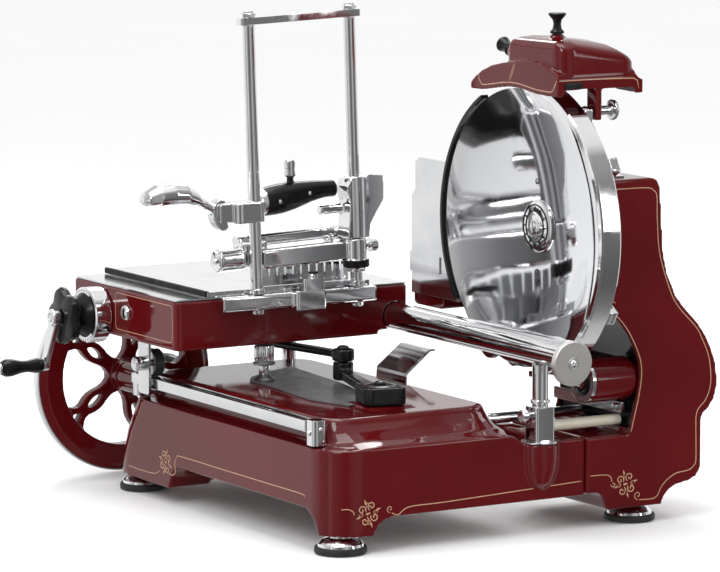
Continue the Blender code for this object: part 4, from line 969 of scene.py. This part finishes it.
def join(meshes):
    """Several closed meshes as one piece."""
    bm = bmesh.new()
    for me in meshes:
        bm.from_mesh(me)
    out = bpy.data.meshes.new("joined")
    bm.to_mesh(out)
    bm.free()
    return out


def spiral(c, r0, turns, start, way=1, n=26):
    """A curl that winds in to its centre."""
    return [(c[0] + r0 * (1 - 0.86 * k / n) * math.cos(start + way * 2 * math.pi * turns * k / n),
             c[1] + r0 * (1 - 0.86 * k / n) * math.sin(start + way * 2 * math.pi * turns * k / n)) for k in range(n + 1)]


def drop(c, r, ang, axis, h, thick):
    """A small teardrop of paint."""
    pts = []
    for k in range(14):
        a = 2 * math.pi * k / 14
        x, y = r * 1.7 * math.cos(a), r * math.sin(a) * (0.55 - 0.4 * math.cos(a))
        pts.append((c[0] + x * math.cos(ang) - y * math.sin(ang), c[1] + x * math.sin(ang) + y * math.cos(ang)))
    return prism(pts, axis, min(h, h + thick), max(h, h + thick))


def flourish(c, size, axis, h, thick, turn0=0.0):
    """A plain ornament of curls and drops round a centre."""
    out = []
    for k in range(4):
        a = turn0 + math.pi / 2 * k + math.pi / 4
        d = (math.cos(a), math.sin(a))
        cc = (c[0] + d[0] * size * 0.62, c[1] + d[1] * size * 0.62)
        out.append(strip(spiral(cc, size * 0.36, 1.25, a + math.pi, 1 if k % 2 else -1), size * 0.085, axis, h, thick))
        b = a + math.pi / 4
        out.append(drop((c[0] + math.cos(b) * size * 0.92, c[1] + math.sin(b) * size * 0.92), size * 0.12, b, axis, h, thick))
    out.append(drop(c, size * 0.13, turn0, axis, h, thick))
    return out


def screw_head(axis, c, r, h, up, slot=True):
    """A domed slotted screw head. up is +1 or -1 along the axis."""
    prof = [(r, h), (r, h + up * r * 0.25), (r * 0.82, h + up * r * 0.48), (r * 0.45, h + up * r * 0.6), (0, h + up * r * 0.62)]
    me = turn(axis, c, prof, 14)
    if not slot:
        return me
    lo, hi = sorted((h + up * r * 0.38, h + up * r * 0.9))
    w = r * 0.16
    pts = [(c[0] - 1.2 * r, c[1] - w), (c[0] + 1.2 * r, c[1] - w), (c[0] + 1.2 * r, c[1] + w), (c[0] - 1.2 * r, c[1] + w)]
    return csg(me, [("-", prism(pts, axis, lo, hi))])


def ridge(poly, axis, h, width, thick, inset, skip=()):
    """A painted line that keeps the same distance inside an outline."""
    path = [p for i, p in enumerate(offset(poly, inset)) if i not in skip]
    return strip(path, width, axis, h, thick)


PAINT = 0.3
NEAR = -24 - 0.05

# base, near face: a line that ends in an ornament over the leg
def bend(points, per=6):
    return smooth(points, per, False)


near_paint = [strip(bend([(52, 44), (60, 41), (68, 46), (80, 49), (120, 49.5), (194, 52), (260, 54.5), (305, 56)]), 1.1, "Y", NEAR, -PAINT),
              strip(spiral((50, 48.5), 4.2, 1.1, -math.pi / 2, -1), 0.9, "Y", NEAR, -PAINT), strip(bend([(-13, 53.5), (-4, 53), (2, 50), (4, 46)]), 1.0, "Y", NEAR, -PAINT)]
near_paint += flourish((22, 46), 15, "Y", NEAR, -PAINT, 0.3)
near_paint += [strip(spiral((22 + 9 * math.cos(a), 46 + 9 * math.sin(a)), 3.4, 1.0, a, 1), 0.8, "Y", NEAR, -PAINT) for a in (0.0, math.pi / 2, math.pi, -math.pi / 2)]
place("near_pinstripe", join(near_paint), "gold_paint", "frame", sharp=0)

# tower, near face: a line inside the outline, and a bead round the window
tline = bend([(327, 386.6), (354, 386.6), (388, 386), (397, 382.5), (401.5, 375.7), (402.2, 353), (404.5, 319.6), (409, 299), (416.7, 277.4), (425, 258), (437.5, 241.6), (457.7, 221.5),
              (466, 208), (474.5, 190), (478.5, 172), (478.6, 152), (472, 136), (462.5, 127), (459, 118), (458.8, 105.2), (459.3, 68), (456.5, 61), (449.3, 56.3), (431.8, 54), (419, 47.5), (411, 39.5), (405.6, 30.4), (398, 27.5), (380, 28)], 5)
paint = [strip(tline, 1.1, "Y", -28.05, -PAINT), strip(spiral((378.6, 33.4), 5.2, 1.15, -math.pi / 2, -1), 1.0, "Y", -28.05, -PAINT)]
paint.append(strip(bend([(327, 386.6), (326.2, 350), (326, 305), (328.5, 281), (337, 266), (346, 257)], 5), 1.0, "Y", -28.05, -PAINT))
paint += flourish((362, 48), 15, "Y", -28.05, -PAINT, 0.2)
paint += [strip(spiral((362 + 9 * math.cos(a), 48 + 9 * math.sin(a)), 3.4, 1.0, a, 1), 0.8, "Y", -28.05, -PAINT) for a in (0.0, math.pi / 2, math.pi, -math.pi / 2)]
paint.append(strip(bend([(343, 52), (341, 58), (334, 61), (313, 61.5)], 5), 1.0, "Y", -28.05, -PAINT))
paint.append(strip(spiral((345, 49), 3.6, 1.0, math.pi, 1), 0.9, "Y", -28.05, -PAINT))
bead = bend([(343.5, 246.5), (355.5, 234.5), (366.5, 220), (376.8, 200.3), (381.6, 186), (382.6, 170), (379, 147.6), (373.4, 125.6), (368.8, 107.5)], 4)
paint.append(strip(bead, 1.0, "Y", -28.05, -PAINT))
place("tower_pinstripe", join(paint), "gold_paint", "frame", sharp=0)

# base, left face: a line along the lower edge with an ornament at its far end
FACE = -24.05
side = [strip(bend([(36, 59), (44, 62), (120, 62), (220, 62), (318, 62), (330, 60), (335, 52), (334, 42), (341, 37), (350, 38)]), 1.1, "X", FACE, -PAINT)]
side += flourish((358, 50), 15, "X", FACE, -PAINT, 0.3)
side += [strip(spiral((358 + 9 * math.cos(a), 50 + 9 * math.sin(a)), 3.4, 1.0, a, 1), 0.8, "X", FACE, -PAINT) for a in (0.0, math.pi / 2, math.pi, -math.pi / 2)]
side.append(strip(bend([(372, 38), (382, 33), (400, 31.5), (430, 31.5), (450, 32)]), 1.0, "X", FACE, -PAINT))
place("side_pinstripe", join(side), "gold_paint", "frame", sharp=0)

# table, left face
tl = rrect(301, 440, 199, 242, 5, 3)
place("table_pinstripe", join([strip(tl, 0.8, "X", -45.05, -PAINT, closed=True)]), "gold_paint", "carriage", sharp=0)
place("table_plug", screw_head("X", (412, 221), 9, -45, -1, False), "chrome", "carriage")

# hood: a line along the lip's lower edge, a double line across it, and a line on the near face's ledge
def under(y):
    return float(np.interp(y, [p[0] for p in LIP_UNDER[::-1]], [p[1] for p in LIP_UNDER[::-1]]))


lip = [(134, 509), (133, 503), (128, 497.5)] + [(y, under(y) + 5.2) for y in np.linspace(122, -14, 26)] + [(-20, 501), (-24, 507), (-28, 513)]
hood_paint = [strip(lip, 1.2, "X", 264.95, -PAINT), strip([(72, 504), (66, 514), (60, 526)], 0.9, "X", 264.95, -PAINT), strip([(69, 504), (63, 514), (57, 526.5)], 0.9, "X", 264.95, -PAINT)]
place("hood_side_pinstripe", join(hood_paint), "gold_paint", "hood", sharp=0)
place("hood_near_pinstripe", join([strip([(266, 512.4), (300, 512.8), (340, 512.4), (367, 511.6), (372, 509), (374, 500)], 1.1, "Y", -30.05, -PAINT)]), "gold_paint", "hood", sharp=0)
place("hood_slot_plate", join([rbox(274, 298, -31.0, -29.6, 503, 510, 1.2, "Y"), rbox(277, 296, -31.8, -30.8, 505.6, 508, 0.8, "Y")]), "black_plastic", "hood")
place("hood_ledge", join([rbox(267, 371, -30.6, -29.8, 514.2, 515.8, 0.7, "Y")]), "red_enamel", "hood")

# screws, rings and caps
place("rail_cap_screw", join([screw_head("Y", (TUBE_X, TUBE_Z - 7.5), 4.5, -87.4, -1), pipe("Y", (TUBE_X, TUBE_Z - 7.5), 6.2, 7.0, -87.9, -87.0)]), "chrome", "frame")
place("barrel_ring", pipe("X", (0, 166), 18, 24.6, 319.5, 323.6), "chrome", "frame")
place("barrel_end", join([turn("X", (0, 166), [(17.6, 323), (17.6, 320.5), (15, 319), (10, 318.4), (8.4, 318.4), (8.4, 323)], 24)]), "black_steel", "frame")
place("barrel_screw", screw_head("X", (0, 166), 6, 316, -1), "chrome", "frame")
place("gauge_screw", join([screw_head("X", (252, 245), 7, 281.9, -1), screw_head("Y", (299, 245), 5, 234, -1)]), "chrome", "frame")
place("tower_screws", join([screw_head("X", (8, 358), 5, 411.4, 1), screw_head("X", (8, 372), 4, 410.5, 1), screw_head("X", (50, 364), 4, 410.9, 1)]), "chrome", "frame")
place("tower_top_plate", rbox(328, 372, -8, 60, 397.2, 399, 3), "polished_steel", "frame")
place("guide_screw", screw_head("X", (-6, 134), 4.6, 361.6, -1), "chrome", "frame")
place("blade_pin_holes", join([turn("X", (68, 337 + d), [(3.4, 303.5), (3.4, 302.0 + 0.1), (2.6, 301.7), (2.2, 303)], 12) for d in (52, -52)]), "black_steel", "blade")
place("hub_rings", join([pipe("X", BLADE_C, 24.6, 26.0, 299.4, 300.9), pipe("X", BLADE_C, 17.6, 18.6, 298.5, 299.6)] + [drop((68 + 21 * math.cos(a), 337 + 21 * math.sin(a)), 1.5, a, "X", 298.6, 1.2) for a in [2 * math.pi * k / 12 for k in range(12)]]), "black_steel", "blade")
place("hub_boss", turn("X", BLADE_C, [(0, 297.2), (6, 297.5), (9.5, 298.4), (10.5, 299.4), (0, 299.4)], 26), "chrome", "blade")

# dark ring beside the blade's far rim: partly a real dark edge ring, partly painted shade of the gap between blade and
# gauge plate
_ring = []
for _k in range(61):
    _a = math.radians(-36.2 + 98.4 * _k / 60)
    _ring.append([(x, BLADE_C[0] + r * math.cos(_a), BLADE_C[1] + r * math.sin(_a)) for x, r in ((274.7, 160.5), (274.7, 164.9), (284.3, 164.9), (284.3, 160.5))])
place("blade_edge_ring_and_gap_shade", stack(_ring), "black_steel", "frame")

# feet: a rubber ring under each dome
for _n, _c in (("front_left", (2, 2)), ("rear_left", (4, 462)), ("front_right", (388, 2)), ("rear_right", (389, 460))):
    place("foot_ring_" + _n, turn("Z", _c, [(25, 0.02), (27.8, 0.02), (29.4, 1.5), (29.6, 5), (28.6, 7.6), (25.4, 8.2)], 30, closed=True), "rubber", "frame")

# chrome band round the flywheel's rim
place("wheel_band", turn("Y", WHEEL_C, [(115.6, 572.4), (117.3, 572.8), (117.7, 574), (117.7, 582), (117.3, 583.2), (115.6, 583.6)], 64, closed=True), "chrome", "flywheel")

# black cone of the feed dial, and graduation marks on its ring
place("feed_dial", turn("X", FEED_C, [(12.8, -83.4), (19.4, -77.6), (26.9, -67.6), (26.9, -60), (20, -60), (12.8, -75)], 34, closed=True), "black_plastic", "carriage")
place("dial_marks", join([strip([(478 + 28.2 * math.cos(a), 212 + 28.2 * math.sin(a)), (478 + 29.2 * math.cos(a), 212 + 29.2 * math.sin(a)), (478 + 30.4 * math.cos(a), 212 + 30.4 * math.sin(a))], 0.7, "X", -68.0, -0.25) for a in [2 * math.pi * k / 40 for k in range(40)]]), "black_steel", "carriage")

# black strip of painted shade along the meat plate's left edge, and its stop
place("plate_edge_painted_shade", rbox(-6.4, -1.2, 292.6, 541, 250.2, 257.4, 1.6, "Y"), "black_matt", "holder")
place("bar_block", csg(rbox(111, 139, 266.5, 287, 253.2, 266.5, 3), [("-", cyl("Z", (128, 276), 6.4, 240, 280, 14))]), "chrome", "holder")
place("plunger_cap", turn("Z", (128, 276), [(4.6, 271.2), (5.8, 271.6), (5.8, 273.2), (4.6, 273.8), (0, 273.9)], 20), "black_steel", "plunger")

# handle: the catch knob's end cap, and rivets
place("handle_rivets", moved(join([screw_head("Y", (x, z), 2.2, y, -1, False) for x, z, y in ((88, 359, 276.2), (130, 364.5, 279.9))]), LEANING.copy()), "chrome", "press")
place("press_end_cap", moved(join([turn("X", (303, 294), [(9, POST_L - 42.4), (11, POST_L - 43), (11.6, POST_L - 41)], 20), screw_head("X", (303, 294), 4, POST_L - 42.6, -1)]), LEANING.copy()), "chrome", "press")

# nuts on the top bar and under the front bar, knurled band on the column
def hexnut(axis, c, r, lo, hi):
    me = prism(circle(c, r, 6, 0.3), axis, lo, hi)
    ball = turn(axis, c, [(r * 0.8, lo), (r * 1.02, lo + r * 0.2), (r * 1.02, hi - r * 0.2), (r * 0.8, hi)], 18)
    a = bpy.data.objects.new("a", me)
    b = bpy.data.objects.new("b", ball)
    for o in (a, b):
        bpy.context.scene.collection.objects.link(o)
    k = a.modifiers.new("k", "BOOLEAN")
    k.object, k.operation, k.solver = b, "INTERSECT", "EXACT"
    bpy.context.view_layer.update()
    out = bpy.data.meshes.new_from_object(a.evaluated_get(bpy.context.evaluated_depsgraph_get()))
    for o in (a, b):
        bpy.data.objects.remove(o, do_unlink=True)
    return out


place("top_nuts", moved(join([hexnut("Z", (POST_L, POST_Y), 8.6, 574.4, 580), hexnut("Z", (POST_R, POST_Y), 8.6, 574.4, 580)]), LEANING.copy()), "chrome", "holder")
place("post_collars", moved(join([turn("Z", (x, POST_Y), [(7.5, z0), (9.6, z0), (9.6, z0 + 5), (8.4, z0 + 6), (7.5, z0 + 6)], 24, closed=True) for x, z0 in ((POST_L, 254.4), (POST_R, 250.6))]), LEANING.copy()), "chrome", "holder")
place("press_sleeve_ring", moved(turn("Z", (POST_R, POST_Y), [(14.6, 272), (15.6, 273), (15.6, 280), (14.6, 281), (12, 281), (12, 272)], 30, closed=True), LEANING.copy()), "black_plastic", "press")


def knurl(c, r, lo, hi, n=30):
    verts = []
    for z, k in ((lo, 0.94), (lo + 1.2, 1.0), (hi - 1.2, 1.0), (hi, 0.94)):
        verts.append([(c[0] + (r * k + (0.45 if i % 2 else -0.45)) * math.cos(math.pi * i / n), c[1] + (r * k + (0.45 if i % 2 else -0.45)) * math.sin(math.pi * i / n), z) for i in range(2 * n)])
    return stack(verts)


place("column_sleeve", join([knurl((77, 302), 11.2, 169.5, 187.0), turn("Z", (77, 302), [(6, 153.5), (6.4, 154.5), (6.4, 163), (6, 164)], 20)]), "chrome", "frame")
place("rocker_screws", join([screw_head("Z", (ROCK_P[0], ROCK_P[1]), 7, 168.9, 1), screw_head("Z", ROCK_E, 5.5, 170.9, 1)]), "black_steel", "rocker")
place("link_screw", screw_head("Z", ROCK_E, 7, 185.9, 1), "black_steel", "link")
place("roller_nut", join([hexnut("X", (ROLL_C[1], ROLL_C[2]), 9, -42.6, -36), pipe("X", (ROLL_C[1], ROLL_C[2]), 4.5, 8.6, -36, -30)]), "chrome", "carriage")
place("rail_screws", join([screw_head("Y", (-15, 137), 2.6, 15.8, -1), screw_head("X", (25.5, 133), 3.6, -24.2, -1)]), "chrome", "frame")
place("column_collar", turn("Z", (250, -20), [(9.2, 150), (11, 150), (11, 153), (10.4, 154), (9.2, 154)], 24, closed=True), "chrome", "frame")
place("rail_groove_ring", turn("Y", (TUBE_X, TUBE_Z), [(TUBE_R + 0.05, -79), (TUBE_R + 1.6, -79), (TUBE_R + 1.6, -76), (TUBE_R + 0.05, -75)], 34, closed=True), "polished_steel", "frame")

# ---------------------------------------------------------------- camera, light and floor
f_loc = (Vector((-2497.7, -4199.8, 967.2)) + Vector(OFF)) / 1000
cam = bpy.data.cameras.new("camera")
cam.lens = 225
cam.sensor_width = 36
cam.clip_end = 100
co = bpy.data.objects.new("camera", cam)
co.matrix_world = Matrix(((0.85717, 0.06990, -0.51028, f_loc.x), (-0.51504, 0.11634, -0.84924, f_loc.y), (0, 0.99076, 0.13572, f_loc.z), (0, 0, 0, 1)))
bpy.context.scene.collection.objects.link(co)
bpy.context.scene.camera = co


def area(name, loc, aim, size, power, color=(1, 1, 1), sy=None):
    d = bpy.data.lights.new(name, "AREA")
    d.energy = power
    d.color = color
    d.size = size
    if sy:
        d.shape = "RECTANGLE"
        d.size_y = sy
    o = bpy.data.objects.new(name, d)
    o.location = loc
    o.rotation_euler = (Vector(aim) - Vector(loc)).to_track_quat("-Z", "Y").to_euler()
    bpy.context.scene.collection.objects.link(o)
    return o


area("key", (-1.9, -1.2, 1.9), (0, 0, 0.2), 0.7, 20, sy=1.3)
area("fill", (1.3, -2.2, 1.0), (0, 0, 0.25), 0.3, 5, sy=1.3)
area("rim", (1.0, 1.9, 2.0), (0, 0, 0.3), 1.2, 18, sy=0.8)
area("top", (-0.2, 0.1, 2.4), (0, 0, 0), 1.6, 22, sy=1.2)


def pale_floor():
    """A wide pale floor. What shines doesn't see it: the studio below has its own soft tone."""
    verts, faces, n = [], [], 12
    for i in range(n + 1):
        for k in range(n + 1):
            verts.append((-40 + 80 * i / n, -40 + 80 * k / n, 0))
    for i in range(n):
        for k in range(n):
            a = i * (n + 1) + k
            faces.append((a, a + n + 1, a + n + 2, a + 1))
    me = bpy.data.meshes.new("floor")
    me.from_pydata(verts, [], faces)
    me.materials.append(MATS["floor"])
    o = bpy.data.objects.new("floor", me)
    o.location.z = -0.0005
    o.visible_glossy = False
    bpy.context.scene.collection.objects.link(o)
    return o


pale_floor()

# White room for soft light; what shines sees a studio of bright panels and dark gaps.
world = bpy.data.worlds.new("studio")
world.use_nodes = True
bpy.context.scene.world = world
wt = world.node_tree
bg = wt.nodes["Background"]
tc = wt.nodes.new("ShaderNodeTexCoord")
sep = wt.nodes.new("ShaderNodeSeparateXYZ")
wt.links.new(tc.outputs["Generated"], sep.inputs["Vector"])


def wmath(op, a, b=None):
    n = wt.nodes.new("ShaderNodeMath")
    n.operation = op
    for i, v in enumerate((a, b)):
        if v is None:
            continue
        if isinstance(v, (int, float)):
            n.inputs[i].default_value = v
        else:
            wt.links.new(v, n.inputs[i])
    return n.outputs[0]


def wramp(fac, stops):
    n = wt.nodes.new("ShaderNodeValToRGB")
    e = n.color_ramp.elements
    while len(e) < len(stops):
        e.new(0.5)
    for q, (p, v) in zip(e, stops):
        q.position = p
        q.color = (v, v, v, 1)
    wt.links.new(fac, n.inputs["Fac"])
    return n.outputs["Color"]


az = wmath("ADD", wmath("DIVIDE", wmath("ARCTAN2", sep.outputs["X"], sep.outputs["Y"]), 2 * math.pi), 0.5)
el = wmath("ADD", wmath("MULTIPLY", sep.outputs["Z"], 0.5), 0.5)
# round the horizon: dark beside the camera, a bright strip at its left, white behind the machine
round_ = wramp(az, [(0.0, 0.50), (0.045, 0.34), (0.086, 0.10), (0.13, 0.20), (0.18, 0.42), (0.205, 0.55), (0.212, 1.0), (0.228, 1.0), (0.236, 0.45), (0.29, 0.50),
                    (0.34, 0.85), (0.40, 1.0), (0.62, 1.0), (0.72, 0.95), (0.80, 0.75), (0.845, 0.32), (0.885, 0.15), (0.94, 0.19), (0.975, 0.44), (1.0, 0.52)])
# overhead: a large soft panel with dark gaps at its sides
above = wramp(el, [(0.0, 0.62), (0.30, 0.75), (0.44, 0.95), (0.50, 1.0), (0.66, 1.0), (0.74, 0.92), (0.80, 0.62), (0.86, 0.45), (0.89, 0.9), (1.0, 1.0)])
mix = wt.nodes.new("ShaderNodeMix")
mix.data_type = "RGBA"
mix.blend_type = "MULTIPLY"
mix.inputs["Factor"].default_value = 1.0
wt.links.new(round_, mix.inputs["A"])
wt.links.new(above, mix.inputs["B"])
# near the zenith the azimuth no longer matters
lift = wt.nodes.new("ShaderNodeMix")
lift.data_type = "RGBA"
wt.links.new(wmath("MULTIPLY", wmath("MAXIMUM", wmath("SUBTRACT", el, 0.72), 0.0), 5.0), lift.inputs["Factor"])
wt.links.new(mix.outputs["Result"], lift.inputs["A"])
wt.links.new(above, lift.inputs["B"])
lp = wt.nodes.new("ShaderNodeLightPath")
pick = wt.nodes.new("ShaderNodeMix")
pick.data_type = "RGBA"
wt.links.new(lp.outputs["Is Glossy Ray"], pick.inputs["Factor"])
pick.inputs["A"].default_value = (1.0, 1.0, 1.0, 1)
wt.links.new(lift.outputs["Result"], pick.inputs["B"])
wt.links.new(pick.outputs["Result"], bg.inputs["Color"])
bg.inputs["Strength"].default_value = 1.0

bpy.context.scene.view_settings.view_transform = "Standard"
